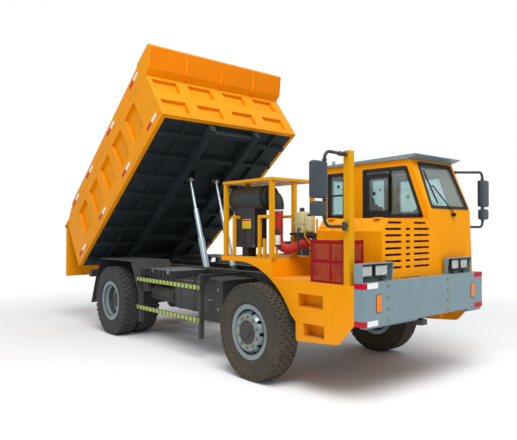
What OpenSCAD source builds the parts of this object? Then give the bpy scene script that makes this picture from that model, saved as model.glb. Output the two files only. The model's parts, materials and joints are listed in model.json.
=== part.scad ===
// Mining dump truck, two axles, cab beside the hood, bed raised on its hoist.
// Frame: +X forward, +Y to the truck's left, +Z up, ground at z = 0.
// The origin is at the middle of the whole truck, on the ground.

/* [Chassis] */
// Front face of the bumper, ahead of the origin
nose_x = 3372; // [3300:1:3440]
// Front axle, behind the bumper's face
front_axle_back = 1481; // [1440:1:1520]
// Rear axle, behind the bumper's face
rear_axle_back = 4938; // [4900:1:4980]
// Half the width of the front body
body_half = 1062; // [1040:1:1080]
// Top of the two frame rails
rail_top = 1075; // [1060:1:1085]
// Height of a frame rail
rail_h = 240; // [200:1:260]
// Outer face of a frame rail, from the middle
rail_out = 385; // [370:1:400]

/* [Wheels] */
// Rolling radius of every tyre
tyre_r = 525; // [500:1:530]
// Width of one tyre
tyre_w = 270; // [250:1:280]
// Outer face of the outer tyres, from the middle
track_out = 1209; // [1190:1:1220]
// Distance between the middles of a twin pair
twin_gap = 320; // [300:1:340]
// Radius of the rim's flange
rim_r = 300; // [290:1:305]
// King pin, from the middle
king_y = 960; // [950:1:970]

/* [Bed] */
// How far the bed is raised
bed_tilt = 37.47; // [30:0.01:40]
// Bed hinge, behind the bumper's face
hinge_back = 5738; // [5700:1:5760]
// Height of the bed hinge
hinge_z = 960; // [940:1:980]
// Bed floor above its hinge
floor_rise = 270; // [265:1:280]
// Bed's rear edge, behind its hinge
bed_behind = 292; // [280:1:300]
// Length of the bed floor
bed_l = 3582; // [3500:1:3600]
// Half the width of the bed
bed_half = 1220; // [1200:1:1240]
// Height of the bed's sides
side_h = 1075; // [1050:1:1110]
// Height of the bed's front wall
front_h = 794; // [760:1:810]
// Depth of the recesses in the bed's walls
recess = 62; // [40:1:70]

/* [Front body] */
// Top of the platform at the front
plat_z = 1115; // [1100:1:1120]
// Top of the raised deck over the front wheels
deck_z = 1320; // [1310:1:1330]
// Step up to the raised deck, behind the bumper's face
deck_front = 1263; // [1250:1:1280]
// Rear end of the raised deck, behind the bumper's face
deck_rear = 2172; // [2150:1:2180]
// Top of the hood
hood_z = 1745; // [1730:1:1755]
// Right side of the hood, from the middle
hood_right = 665; // [650:1:680]
// Near wall of the cab, from the middle
cab_in = 200; // [190:1:220]
// Rear wall of the cab, behind the bumper's face
cab_back_d = 1700; // [1690:1:1710]
// Underside of the cab's roof
roof_z = 2415; // [2400:1:2420]

/* [Hidden] */
$fn = 64;

orange = [0.93, 0.53, 0.05];
black = [0.10, 0.11, 0.12];
grey = [0.44, 0.51, 0.56];
yellow = [0.93, 0.62, 0.06];

front_x = nose_x - front_axle_back;
rear_x = nose_x - rear_axle_back;
hinge_x = nose_x - hinge_back;
bumper_x = nose_x - 110;
rail_bot = rail_top - rail_h;
rail_w = 75;
plate = 10;

// A box from its low corner to its high corner.
module block(lo, hi) {
  translate(lo) cube(hi - lo);
}

// The same piece on the right and on the left.
module both() {
  children();
  mirror([0, 1, 0]) children();
}

// An outline in X and Z, drawn from y = y0 to y = y1.
module side_cut(outline, y0, y1) {
  translate([0, y1, 0]) rotate([90, 0, 0]) linear_extrude(y1 - y0) polygon(outline);
}

// An outline in Y and Z, drawn from x = x0 to x = x1.
module cross_cut(outline, x0, x1) {
  translate([x0, 0, 0]) rotate([90, 0, 90]) linear_extrude(x1 - x0) polygon(outline);
}

// A round bar from p to q.
module bar(p, q, r) {
  d = q - p;
  len = norm(d);
  translate(p) rotate([0, acos(d[2] / len), atan2(d[1], d[0])]) cylinder(h = len, r = r);
}

// A round bar along Y.
module pin_y(x, z, y0, y1, r) {
  translate([x, y1, z]) rotate([90, 0, 0]) cylinder(h = y1 - y0, r = r);
}

// ---------------------------------------------------------------- chassis

hoist_x = nose_x - 3516;
hoist_z = 500;
hoist_y = 242;
hanger_y = 330;
tow_x = nose_x - 45;
tow_r = 20;

// One frame rail: an open channel, its flanges inwards.
module rail() {
  difference() {
    block([hinge_x - 60, -rail_out, rail_bot], [bumper_x, -rail_out + rail_w, rail_top]);
    block([hinge_x - 61, -rail_out + plate, rail_bot + plate],
          [bumper_x + 1, -rail_out + rail_w + 1, rail_top - plate]);
  }
}

// Cross members: distance behind the bumper's face.
cross_back = [230, 860, 2330, 3060, 4100, 4560, 5300, 5750];

module cross_members() {
  color(black) for (d = cross_back)
    block([nose_x - d - 40, -rail_out + plate, rail_bot + 70],
          [nose_x - d + 40, rail_out - plate, rail_bot + 170]);
}

// Plates that carry the hoist's cross shaft below the rails.
module hoist_mount() {
  both() side_cut([[hoist_x - 150, rail_bot], [hoist_x - 60, hoist_z - 60], [hoist_x + 60, hoist_z - 60],
                   [hoist_x + 150, rail_bot]], -rail_out + 20, -hanger_y);
  pin_y(hoist_x, hoist_z, -hanger_y, hanger_y, 30);
}

// Pins on the outside of the rails that the bed turns on.
hinge_pin_r = 32;
module hinge_pins() {
  both() {
    pin_y(hinge_x, hinge_z, -rail_out - 58, -rail_out + 5, hinge_pin_r);
    pin_y(hinge_x, hinge_z, -rail_out - 70, -rail_out - 58, hinge_pin_r + 12);
  }
}

// Bar across the rear end, with a tow pin plate.
rear_bar_y = 1100;
module rear_bar() {
  block([nose_x - 5990, -rear_bar_y, 825], [nose_x - 5890, rear_bar_y, 940]);
  both() block([nose_x - 5890, -rail_out, rail_bot], [hinge_x - 60, -rail_out + rail_w, 940]);
}

// Front tow plate below the bumper with an upright bore, held by a strap under the rails.
tow_y = -88;
tow_half = 75;
tow_low = 665;
tow_t = 50;
module tow_jaw() {
  strap = [bumper_x - 60, bumper_x - 10];
  difference() {
    translate([0, 0, tow_low]) linear_extrude(tow_t)
      polygon([[strap[0], tow_y - tow_half], [nose_x - 80, tow_y - tow_half],
               [nose_x - 10, tow_y - tow_half + 30], [nose_x - 10, tow_y + tow_half - 30],
               [nose_x - 80, tow_y + tow_half], [strap[0], tow_y + tow_half]]);
    translate([tow_x, tow_y, tow_low - 1]) cylinder(h = tow_t + 2, r = tow_r);
  }
  block([strap[0], tow_y - tow_half, tow_low + tow_t], [strap[1], tow_y + tow_half, rail_bot - 12]);
  block([strap[0], -rail_out + 5, rail_bot - 12], [strap[1], rail_out - 5, rail_bot]);
}

module frame_rails() {
  color(black) {
    both() rail();
    hinge_pins();
  }
}

module frame_brackets() {
  color(black) {
    hoist_mount();
    rear_bar();
    tow_jaw();
  }
}

axle_z = tyre_r;
spindle_r = 45;
king_r = 26;
king_h = 150;
rear_hub_in = track_out - tyre_w - twin_gap;

// Front beam between the king pins, dropped in the middle.
module front_beam() {
  difference() {
    union() {
      block([front_x - 45, -740, axle_z - 110], [front_x + 45, 740, axle_z + 0]);
      both() block([front_x - 45, -king_y + 45, axle_z - 60], [front_x + 45, -730, axle_z + 60]);
      both() translate([front_x, -king_y, axle_z - 60]) cylinder(h = 120, r = 50);
    }
    both() translate([front_x, -king_y, axle_z - 61]) cylinder(h = 122, r = king_r + 0.05);
  }
}

// Rear housing: tube, round gear case and drive shaft.
module rear_housing() {
  pin_y(rear_x, axle_z, -track_out + 150, track_out - 150, spindle_r);
  pin_y(rear_x, axle_z, -rear_hub_in + 20, rear_hub_in - 20, 80);
  pin_y(rear_x, axle_z, -110, 110, 205);
  bar([rear_x + 150, 0, axle_z + 20], [rear_x + 330, 0, axle_z + 40], 75);
  bar([rear_x + 300, 0, axle_z + 38], [nose_x - 2425, 0, 820], 48);
}

module axles() {
  color(black) {
    front_beam();
    rear_housing();
  }
}

// Springs: axle x, half length, seat height above the axle, leaves.
spring_table = [[front_x, 560, 0, 6], [rear_x, 640, 80, 8]];
spring_y = 345;

module leaf_springs() {
  color(black) both() for (s = spring_table) {
    x = s[0];
    half = s[1];
    base = axle_z + s[2];
    for (i = [0:s[3] - 1])
      block([x - half + i * half * 0.12, -spring_y - 37, base + (s[3] - 1 - i) * 13],
            [x + half - i * half * 0.12, -spring_y + 37, base + (s[3] - i) * 13]);
    for (side = [-1, 1])
      block([x + side * (half - 30) - 22, -spring_y - 30, base + (s[3] - 1) * 13],
            [x + side * (half - 30) + 22, -spring_y + 30, rail_bot]);
  }
}

// Engine: one plain block with its head, sump, gearbox and radiator.
engine_y = -230;
module engine() {
  color([0.25, 0.27, 0.28]) {
    block([nose_x - 2000, -290, 700], [nose_x - 1000, 150, 1240]);
    block([nose_x - 1980, engine_y, 1240], [nose_x - 1020, 110, 1480]);
    block([nose_x - 1900, -190, 1480], [nose_x - 1100, 70, 1540]);
    block([nose_x - 2290, -190, 720], [nose_x - 2000, 150, 1030]);
    bar([nose_x - 2415, 0, 820], [nose_x - 2290, 0, 830], 60);
    block([nose_x - 1000, -140, 1180], [nose_x - 330, -100, 1220]);
    block([nose_x - 1000, 0, 1180], [nose_x - 330, 40, 1220]);
    block([nose_x - 330, -560, 1150], [nose_x - 200, 140, 1660]);
  }
}

// Fuel and oil tanks: low corner and high corner, X from the bumper's face.
tank_table = [[[-3440, -930, 560], [-2850, -440, 940]], [[-3900, 440, 520], [-2850, 930, 960]]];

module side_tanks() {
  color(black) for (t = tank_table)
    block(t[0] + [nose_x, 0, 0], t[1] + [nose_x, 0, 0]);
  color(black) for (t = tank_table)
    tank_arms(t);
}

// Arms from the rail to a tank.
module tank_arms(t) {
  inner = t[0][1] < 0 ? t[1][1] : t[0][1];
  for (x = [t[0][0] + 100, t[1][0] - 160])
    block([nose_x + x, min(inner, sign(inner) * rail_out), 860],
          [nose_x + x + 60, max(inner, sign(inner) * rail_out), 930]);
}

// Battery box behind, tool box in front.
module storage_boxes() {
  color(black) {
    block([nose_x - 4150, -930, 905], [nose_x - 3500, -rail_out, 1045]);
    for (i = [0:6])
      block([nose_x - 4150 + i * 96, -950, 890], [nose_x - 4110 + i * 96, -930, 1048]);
    block([nose_x - 2770, -930, 470], [nose_x - 2330, -430, 1000]);
    block([nose_x - 2700, -430, 860], [nose_x - 2420, -rail_out, 930]);
  }
}

module air_tank() {
  color(black) {
    translate([nose_x - 4160, -800, 690]) rotate([0, 90, 0]) cylinder(h = 620, r = 112);
    for (d = [4080, 3660])
      block([nose_x - d - 15, -815, 795], [nose_x - d + 15, -785, 905]);
  }
}

// Side guard posts: back, front, low, high; X from the bumper's face.
guard_y = 1080;
guard_posts = [[-4222, -4182, 282, 1052], [-2633, -2592, 261, 1064]];
module side_guards() {
  color(black) both() {
    for (p = guard_posts) {
      block([nose_x + p[0], -guard_y, p[2]], [nose_x + p[1], -guard_y + 60, p[3]]);
      block([nose_x + p[0], -guard_y + 60, p[3] - 18], [nose_x + p[1], -rail_out, p[3]]);
    }
    for (z = [876, 469])
      block([nose_x - 4248, -guard_y - 20, z], [nose_x - 2584, -guard_y, z + 58]);
  }
}

// Mudguard over a twin pair: bent plate on two arms from the rail.
mud_out = 1112;
mud_in = 470;
mud_z = 1156;
mud_t = 8;
module mudguard() {
  outline = [[-5860, 396], [-5680, 828], [-5478, mud_z], [-4403, mud_z], [-4170, 716],
             [-4170 - mud_t, 714], [-4403 - mud_t * 0.6, mud_z - mud_t], [-5478 + mud_t * 0.6, mud_z - mud_t],
             [-5680 + mud_t, 826], [-5860 + mud_t, 396]];
  difference() {
    side_cut(from_nose(outline), -mud_out, -mud_in);
    block([nose_x - 4226, -guard_y - 40, 700], [nose_x - 4160, -guard_y + 64, 840]);
  }
  for (d = [5420, 4460]) {
    block([nose_x - d - 30, -mud_in - 30, 1000], [nose_x - d + 30, -rail_out, 1060]);
    block([nose_x - d - 30, -mud_in - 30, 1060], [nose_x - d + 30, -mud_in, mud_z - mud_t]);
  }
}

module rear_mudguards() {
  color(black) both() mudguard();
}

// ---------------------------------------------------------------- front body

panel_t = 18;
arch_c = [nose_x - 1832, 260];
arch_r = 1010;
panel_rear = nose_x - 882;
panel_low = 508;

// Outline of a side panel.
panel_outline = concat(
  [[bumper_x, plat_z], [nose_x - deck_front, plat_z], [nose_x - deck_front, deck_z],
   [nose_x - deck_rear, deck_z], [nose_x - deck_rear, deck_z - 45], [nose_x - deck_rear + 30, deck_z - 55],
   [arch_c[0], arch_c[1] + arch_r]],
  [for (a = [85:-5:30]) arch_c + arch_r * [cos(a), sin(a)]],
  [[panel_rear, 700], [panel_rear, panel_low + 20], [panel_rear + 20, panel_low],
   [nose_x - 335, panel_low + 40], [nose_x - 300, panel_low + 52], [bumper_x - 10, 754], [bumper_x, 760]]);

// Steps sunk in a side panel: back end, front end, low, high.
step_table = [[847, 500, 858, 990], [772, 484, 572, 700]];
step_depth = 115;

module side_panel() {
  difference() {
    side_cut(panel_outline, -body_half, -body_half + panel_t);
    for (s = step_table)
      block([nose_x - s[0], -body_half - 1, s[2]], [nose_x - s[1], -body_half + panel_t + 1, s[3]]);
  }
  for (s = step_table) difference() {
    block([nose_x - s[0] - 6, -body_half + panel_t, s[2] - 6],
          [nose_x - s[1] + 6, -body_half + step_depth + 6, s[3] + 6]);
    block([nose_x - s[0], -body_half - 1, s[2]], [nose_x - s[1], -body_half + step_depth, s[3]]);
  }
}

module side_panels() {
  color(orange) both() side_panel();
}

deck_in = body_half - panel_t;
deck_t = 15;
// Space left for the engine and its radiator hoses in both decks.
module engine_space() {
  block([nose_x - 2060, -310, 1000], [nose_x - 980, 170, 1500]);
  block([nose_x - 981, -160, 1000], [nose_x - 310, 60, 1500]);
}

// Platform at the front, on arms from the rails.
module platform() {
  color(orange) {
    difference() {
      block([nose_x - deck_front, -deck_in, plat_z - deck_t], [bumper_x, deck_in, plat_z]);
      engine_space();
    }
    both() for (d = [1000, 250])
      block([nose_x - d - 40, -deck_in, rail_top], [nose_x - d + 40, -rail_out + rail_w, plat_z - deck_t]);
  }
}

// Raised deck over the wheels with its riser and rear lip, on legs from the rails.
module raised_deck() {
  color(orange) {
    difference() {
      union() {
        block([nose_x - deck_front - deck_t, -deck_in, plat_z - deck_t],
              [nose_x - deck_front, deck_in, deck_z]);
        block([nose_x - deck_rear, -deck_in, deck_z - deck_t], [nose_x - deck_front, deck_in, deck_z]);
        block([nose_x - deck_rear, -deck_in, deck_z - 50], [nose_x - deck_rear + 12, deck_in, deck_z]);
      }
      engine_space();
    }
    both() for (d = [2130, 1290])
      block([nose_x - d - 20, -rail_out, rail_top], [nose_x - d + 20, -rail_out + rail_w, deck_z - deck_t]);
  }
}

bump_low = 749;
bump_top = 1146;
house_z = 1322;
house_back = nose_x - 99;
// Bumper: folded plate with end walls, a lip below and the lamp housings on top.
module bumper() {
  color(grey) {
    difference() {
      block([bumper_x, -body_half, bump_low], [nose_x, body_half, bump_top]);
      block([bumper_x - 1, -body_half + 12, bump_low + 12], [nose_x - 12, body_half - 12, bump_top - 12]);
      block([bumper_x - 1, -hood_right - 1, plat_z - 1], [house_back, cab_in + 1, bump_top + 1]);
    }
    both() block([bumper_x, -rail_out, rail_bot], [nose_x - 12, -rail_out + rail_w, rail_top]);
    block([nose_x - 90, -1000, bump_low - 25], [nose_x - 30, -180, bump_low]);
    block([bumper_x, 760, bump_low - 33], [nose_x - 8, 1044, bump_low]);
    lamp_housing(-body_half, -560);
    lamp_housing(418, 905);
    block([bumper_x, -body_half, bump_top], [nose_x - 12, -body_half + 8, house_z]);
  }
}

// Open housing for two work lamps, from y0 to y1.
module lamp_housing(y0, y1) {
  block([house_back, y0, house_z - 8], [nose_x - 40, y1, house_z]);
  block([house_back, y0, bump_top], [house_back + 4, y1, house_z]);
  for (y = [y0, y1 - 8])
    side_cut([[house_back, bump_top], [nose_x - 60, bump_top], [nose_x - 40, house_z], [house_back, house_z]],
             y, y + 8);
}

// Work lamps in their housings: right edge and left edge.
lamp_table = [[-1037, -868], [-832, -637], [496, 650], [680, 834]];
module lamps() {
  color([0.85, 0.86, 0.84]) for (y = lamp_table)
    block([house_back + 4, y[0], 1195], [nose_x - 50, y[1], 1302]);
  color([0.95, 0.45, 0.05]) both()
    block([nose_x, -885, 870], [nose_x + 8, -805, 1035]);
  color("red") both()
    block([nose_x - 6015, -1090, 845], [nose_x - 5990, -830, 920]);
}

hood_front = nose_x - 100;
hood_rear = nose_x - 960;
wall = 12;
hood_outline = [[-hood_right, plat_z], [-hood_right, 1615], [-hood_right + 90, hood_z], [110, hood_z],
                [cab_in, 1670], [cab_in, plat_z]];

// Hood slots: left edge and right edge of each column.
slot_cols = [[-616, -346], [-279, -198], [-139, 141]];
slot_h = 22;
slot_pitch = 63.3;
module slots() {
  for (row = [0:7]) for (col = slot_cols) {
    z = 1258 + row * slot_pitch;
    y0 = row == 7 ? max(col[0], -570) : col[0];
    y1 = row == 7 ? min(col[1], 80) : col[1];
    if (row < 7 || col[0] != -279) {
      block([hood_front - 40, y0 + slot_h / 2, z - slot_h / 2],
            [hood_front + 20, y1 - slot_h / 2, z + slot_h / 2]);
      for (y = [y0 + slot_h / 2, y1 - slot_h / 2])
        translate([hood_front - 40, y, z]) rotate([0, 90, 0]) cylinder(h = 60, r = slot_h / 2);
    }
  }
}

module hood() {
  inner = [[-hood_right + wall, plat_z - 1], [-hood_right + wall, 1610], [-hood_right + 96, hood_z - wall],
           [104, hood_z - wall], [cab_in - wall, 1664], [cab_in - wall, plat_z - 1]];
  color(orange) difference() {
    cross_cut(hood_outline, hood_rear, hood_front);
    cross_cut(inner, hood_rear + wall, hood_front - wall);
    block([hood_rear - 1, -300, plat_z - 1], [hood_rear + wall + 1, 170, 1600]);
    slots();
  }
}

// ---------------------------------------------------------------- cab

cab_out = body_half;
cab_t = 36;
cab_f = nose_x - 120;
cab_bend = [nose_x - 148, 1860];
cab_brow = [nose_x - 385, roof_z];
cab_r = nose_x - cab_back_d;
deck_step = nose_x - deck_front;

// Side outline of the cab, from the front foot round to the floor.
cab_outline = [[cab_f, plat_z], cab_bend, cab_brow, [cab_r, roof_z], [cab_r, deck_z],
               [deck_step, deck_z], [deck_step, plat_z]];

// Windscreen opening and lower panel, one folded sheet.
screen = [[261, 1866], [331, 2380], [1002, 2380], [1023, 1866]];
module cab_front() {
  color(orange) difference() {
    side_cut([[cab_f, plat_z], cab_bend, cab_brow, [cab_brow[0] - cab_t, roof_z],
              [cab_bend[0] - cab_t, cab_bend[1]], [cab_f - cab_t, plat_z]], cab_in, cab_out);
    cross_cut(screen, cab_brow[0] - 100, cab_f);
  }
}

// Inner face of the front sheet below its bend, at height z.
function front_in(z) = cab_f - cab_t + (cab_bend[0] - cab_f) * (z - plat_z) / (cab_bend[1] - plat_z) - 0.05;

// Openings in the near side: back top, front top, front foot, back foot.
near_window = [[-1040, 2335], [-425, 2335], [-215, 1770], [-1040, 1770]];
rear_window = [[-1610, 2325], [-1330, 2325], [-1330, 1775], [-1610, 1775]];
door_hole = [[-1230, 2350], [-470, 2350], [-250, 1800], [-250, 1180], [-1230, 1180]];
function from_nose(outline) = [for (p = outline) [p[0] + nose_x, p[1]]];

// Inside outline of the cab's shell between front and back.
side_outline = [[front_in(plat_z + cab_t), plat_z + cab_t], [cab_bend[0] - cab_t - 0.05, cab_bend[1]],
                [cab_brow[0] - cab_t - 0.05, roof_z],
                [cab_r + cab_t, roof_z], [cab_r + cab_t, deck_z + cab_t], [deck_step + cab_t, deck_z + cab_t],
                [deck_step + cab_t, plat_z + cab_t]];

module cab_sides() {
  color(orange) {
    difference() {
      side_cut(side_outline, cab_in, cab_in + cab_t);
      side_cut(from_nose(near_window), cab_in - 1, cab_in + cab_t + 1);
      side_cut(from_nose(rear_window), cab_in - 1, cab_in + cab_t + 1);
    }
    difference() {
      side_cut(side_outline, cab_out - cab_t, cab_out);
      side_cut(from_nose(door_hole), cab_out - cab_t - 1, cab_out + 1);
      side_cut(from_nose(rear_window), cab_out - cab_t - 1, cab_out + 1);
    }
  }
}

module cab_back() {
  color(orange) difference() {
    block([cab_r, cab_in, deck_z + cab_t], [cab_r + cab_t, cab_out, roof_z]);
    block([cab_r - 1, cab_in + 130, 1800], [cab_r + cab_t + 1, cab_out - 130, 2290]);
  }
}

module cab_floor() {
  color([0.2, 0.2, 0.2]) difference() {
    side_cut([[cab_f - cab_t, plat_z], [front_in(plat_z + cab_t), plat_z + cab_t],
              [deck_step + cab_t, plat_z + cab_t],
              [deck_step + cab_t, deck_z + cab_t], [cab_r, deck_z + cab_t], [cab_r, deck_z],
              [deck_step, deck_z],
              [deck_step, plat_z]], cab_in, cab_out);
    block([deck_step + cab_t + 1, cab_out - 45, plat_z + 20], [cab_f - cab_t - 60, cab_out + 1, plat_z + 50]);
  }
}

// Roof sheet with its lifting eye.
eye_at = nose_x - 1530;
eye_top = roof_z + 52;
module cab_roof() {
  color(grey) side_cut([[nose_x - 275, roof_z + 40], [nose_x - 285, roof_z + 50], [cab_r - 40, roof_z + 22],
                        [cab_r - 40, roof_z + 2], [cab_r, roof_z], [cab_brow[0] - 20, roof_z]],
                       cab_in - 25, cab_out + 25);
  color(grey) difference() {
    union() {
      pin_y(eye_at, eye_top, cab_in + 10, cab_in + 20, 26);
      block([eye_at - 26, cab_in + 10, roof_z + 10], [eye_at + 26, cab_in + 20, eye_top]);
    }
    pin_y(eye_at, eye_top, cab_in + 9, cab_in + 21, 12);
  }
}

pane = 6;
module cab_glass() {
  color([0.6, 0.75, 0.8, 0.4]) {
    intersection() {
      side_cut([cab_bend - [15, 0], cab_brow - [15, 0], cab_brow - [15 + pane, 0], cab_bend - [15 + pane, 0]],
               cab_in, cab_out);
      cross_cut(screen, cab_brow[0] - 100, cab_f);
    }
    side_cut(from_nose(near_window), cab_in + 15, cab_in + 15 + pane);
    side_cut(from_nose(rear_window), cab_in + 15, cab_in + 15 + pane);
    side_cut(from_nose(rear_window), cab_out - 21, cab_out - 21 + pane);
    block([cab_r + 15, cab_in + 130, 1800], [cab_r + 15 + pane, cab_out - 130, 2290]);
  }
}

seat_y = (cab_in + cab_out) / 2;
module seat() {
  color([0.12, 0.12, 0.13]) {
    block([nose_x - 1190, seat_y - 160, plat_z + cab_t], [nose_x - 900, seat_y + 160, plat_z + cab_t + 230]);
    block([nose_x - 1220, seat_y - 235, plat_z + cab_t + 230],
          [nose_x - 740, seat_y + 235, plat_z + cab_t + 350]);
    translate([nose_x - 1205, 0, plat_z + cab_t + 340]) rotate([0, -12, 0])
      block([-60, seat_y - 225, 0], [60, seat_y + 225, 560]);
  }
}

// Dashboard with column and steering wheel.
module dashboard() {
  color([0.1, 0.1, 0.1]) {
    side_cut([[front_in(plat_z + cab_t), plat_z + cab_t], [front_in(1790), 1790], [nose_x - 330, 1790],
              [nose_x - 400, 1640],
              [nose_x - 330, plat_z + cab_t]], cab_in + cab_t, cab_out - cab_t);
    bar([nose_x - 370, seat_y, 1600], [nose_x - 540, seat_y, 1770], 22);
    translate([nose_x - 545, seat_y, 1775]) rotate([0, -45, 0]) {
      rotate_extrude() translate([200, 0]) circle(r = 16);
      for (a = [0, 120, 240])
        rotate([0, 0, a]) rotate([0, 90, 0]) cylinder(h = 200, r = 9);
    }
  }
}

// Half of a butt hinge: barrel on the door's axis and its leaf, which ends at leaf_x.
hinge_line = [nose_x - 253, cab_out + 10];
hinge_low = [1290, 1640];
barrel_h = 70;
end_barrel_h = 39.5;
module half_hinge(z, tall, leaf_x) {
  block([min(hinge_line[0], leaf_x), cab_out, z], [max(hinge_line[0], leaf_x), cab_out + 5, z + tall]);
  translate([hinge_line[0], hinge_line[1], z]) cylinder(h = tall, r = 9);
}

// Halves on the cab, above and below the door's barrels.
module door_hinges() {
  color(black) for (z = hinge_low) {
    half_hinge(z - 0.5 - end_barrel_h, end_barrel_h, nose_x - 216);
    half_hinge(z + barrel_h + 0.5, end_barrel_h, nose_x - 216);
  }
}

// Door on the left, hinged at its front edge.
door_gap = 6;
door_pane = [[-1150, 2280], [-520, 2280], [-345, 1830], [-1150, 1830]];
module cab_door() {
  g = door_gap;
  shape = [[-1230 + g, 2350 - g], [-470 - g, 2350 - g], [-250 - g, 1800], [-250 - g, 1180 + g],
           [-1230 + g, 1180 + g]];
  color(orange) difference() {
    side_cut(from_nose(shape), cab_out - cab_t, cab_out);
    side_cut(from_nose(door_pane), cab_out - cab_t - 1, cab_out + 1);
  }
  color(black) block([nose_x - 1190, cab_out, 1700], [nose_x - 1060, cab_out + 25, 1725]);
  color(black) for (z = hinge_low)
    half_hinge(z, barrel_h, nose_x - 330);
}

module door_glass() {
  color([0.6, 0.75, 0.8, 0.4]) side_cut(from_nose(door_pane), cab_out - 22, cab_out - 22 + pane);
}

// ---------------------------------------------------------------- engine side

cage_y = body_half - 5;
cage_far = 731;
cage_x0 = nose_x - 2131;
cage_x1 = nose_x - 1258;
tube = 45;
thin = 32;
cage_top = 2165;
brace_z = 1758;
can_y = -871;
can_z = 1990;
can_r = 139;
box_half = 90;
near_bar = -cage_y + 5;
// Upright tubes round the air cleaner, thick at the corners.
module cage_posts() {
  color(yellow) {
    for (x = [cage_x0, cage_x1 - tube]) for (y = [-cage_y, -cage_far])
      block([x, y, deck_z], [x + tube, y + tube, cage_top]);
    block([cage_x1 - tube, -445, deck_z], [cage_x1, -400, cage_top]);
    for (x = [nose_x - 1962, nose_x - 1500])
      block([x, near_bar, deck_z], [x + thin, near_bar + thin, brace_z]);
    block([nose_x - 1412, near_bar, deck_z], [nose_x - 1382, near_bar + 30, 1533]);
  }
}

// Level bars between the posts; two short ones hold the filter's box.
module cage_braces() {
  top = brace_z + thin;
  color(yellow) {
    block([nose_x - 1962, near_bar, brace_z], [nose_x - 1962 + thin, can_y - box_half, top]);
    block([nose_x - 1962, can_y + box_half, brace_z], [nose_x - 1962 + thin, -cage_far, top]);
    block([nose_x - 1500, near_bar, brace_z], [cage_x1 - tube, near_bar + thin, top]);
    block([nose_x - 1500, near_bar, brace_z], [nose_x - 1500 + thin, -cage_far, top]);
    block([cage_x0 + tube, -cage_far, brace_z], [cage_x1 - tube, -cage_far + thin, top]);
  }
}

module cage_roof() {
  color(yellow) block([cage_x0 - 12, -body_half, cage_top], [cage_x1 + 22, -400, cage_top + 28]);
}

drop_x = nose_x - 1360;
drop_z = 1853;
// Filter drum on its box, and the elbow that turns down to the hose.
module air_cleaner() {
  color([0.08, 0.08, 0.09]) {
    translate([nose_x - 2170, can_y, can_z]) rotate([0, 90, 0]) cylinder(h = 640, r = can_r);
    translate([nose_x - 1530, can_y, can_z + 20]) rotate([0, 90, 0]) cylinder(h = 60, r = 110);
    block([nose_x - 2040, can_y - box_half, 1425], [nose_x - 1665, can_y + box_half, can_z - 60]);
    block([nose_x - 1930, can_y - 60, deck_z], [nose_x - 1820, can_y + 60, 1425]);
    translate([nose_x - 1470, can_y, can_z + 20]) elbow(110, 62, 90);
    translate([drop_x, can_y, drop_z]) cylinder(h = can_z + 20 - 110 - drop_z, r = 62);
  }
}

// Quarter bend from +X to straight down.
module elbow(bend, r, turn) {
  translate([0, 0, -bend]) rotate([90, 0, 0]) rotate([0, 0, 90 - turn]) rotate_extrude(angle = turn)
    translate([bend, 0]) circle(r = r);
}

hose_r = 54;
hose_bend = 115;
hose_turn = 115;
hose_low = 1534;
hose_out = 250;
hose_yaw = 32;
// Red hose: down from the elbow, round a bend and up to the engine.
module intake_hose() {
  color([0.7, 0.05, 0.08]) {
    translate([drop_x, can_y, hose_low]) cylinder(h = drop_z - hose_low, r = hose_r);
    translate([drop_x, can_y, hose_low]) rotate([0, 0, hose_yaw]) {
      translate([hose_bend, 0, 0]) rotate([90, 0, 0]) rotate([0, 0, 180]) rotate_extrude(angle = hose_turn)
        translate([hose_bend, 0]) circle(r = hose_r);
      hose_end_leg();
    }
    translate([drop_x, can_y, hose_low - 5]) cylinder(h = 10, r = hose_r + 3);
  }
}

leg_x = hose_bend * (1 + cos(180 + hose_turn));
leg_z = hose_bend * sin(180 + hose_turn);
leg_rise = hose_turn - 90;
module hose_end_leg() {
  translate([leg_x, 0, leg_z]) rotate([0, 90 - leg_rise, 0]) {
    cylinder(h = hose_out, r = hose_r);
    translate([0, 0, -5]) cylinder(h = 10, r = hose_r + 3);
  }
}

// Duct from the hose's end to the engine's side.
module intake_duct() {
  color([0.08, 0.08, 0.09]) difference() {
    translate([drop_x, can_y, hose_low]) rotate([0, 0, hose_yaw]) translate([leg_x, 0, leg_z])
      rotate([0, 90 - leg_rise, 0]) translate([0, 0, hose_out]) cylinder(h = 36, r = 50);
    block([hood_rear - 8, -800, 1400], [hood_rear + 90, -500, 1700]);
  }
  duct_from = [drop_x, can_y, hose_low] + leg_end(hose_out + 34);
  color([0.08, 0.08, 0.09]) difference() {
    bar(duct_from, [nose_x - 1062, engine_y + 20, 1435], 33);
    block([nose_x - 1200, engine_y, 1300], [nose_x - 900, engine_y + 100, 1600]);
  }
}

// A point of the hose's end leg, from the top of the bend.
function leg_end(along) = [(leg_x + along * cos(leg_rise)) * cos(hose_yaw),
                           (leg_x + along * cos(leg_rise)) * sin(hose_yaw), leg_z + along * sin(leg_rise)];

// Expansion tank and washer bottle on a tray, and the fuel filter on its stand.
module bottles_and_filter() {
  color([0.75, 0.68, 0.5]) {
    block([cage_x1, -770, 1570], [nose_x - 1085, -640, 1583]);
    block([nose_x - 1230, -765, 1583], [nose_x - 1085, -640, 1828]);
    translate([nose_x - 1157, -702, 1828]) cylinder(h = 42, r = 28);
    block([nose_x - 1085, -750, 1612], [nose_x - 990, -665, 1775]);
    translate([nose_x - 1037, -707, 1775]) cylinder(h = 25, r = 22);
  }
  color([0.9, 0.9, 0.9]) {
    translate([nose_x - 1290, -955, deck_z]) cylinder(h = 127, r = 14);
    translate([nose_x - 1290, -955, 1447]) cylinder(h = 149, r = 40);
    translate([nose_x - 1290, -955, 1596]) cylinder(h = 35, r = 28);
  }
}

// ---------------------------------------------------------------- mirrors, guard

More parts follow.
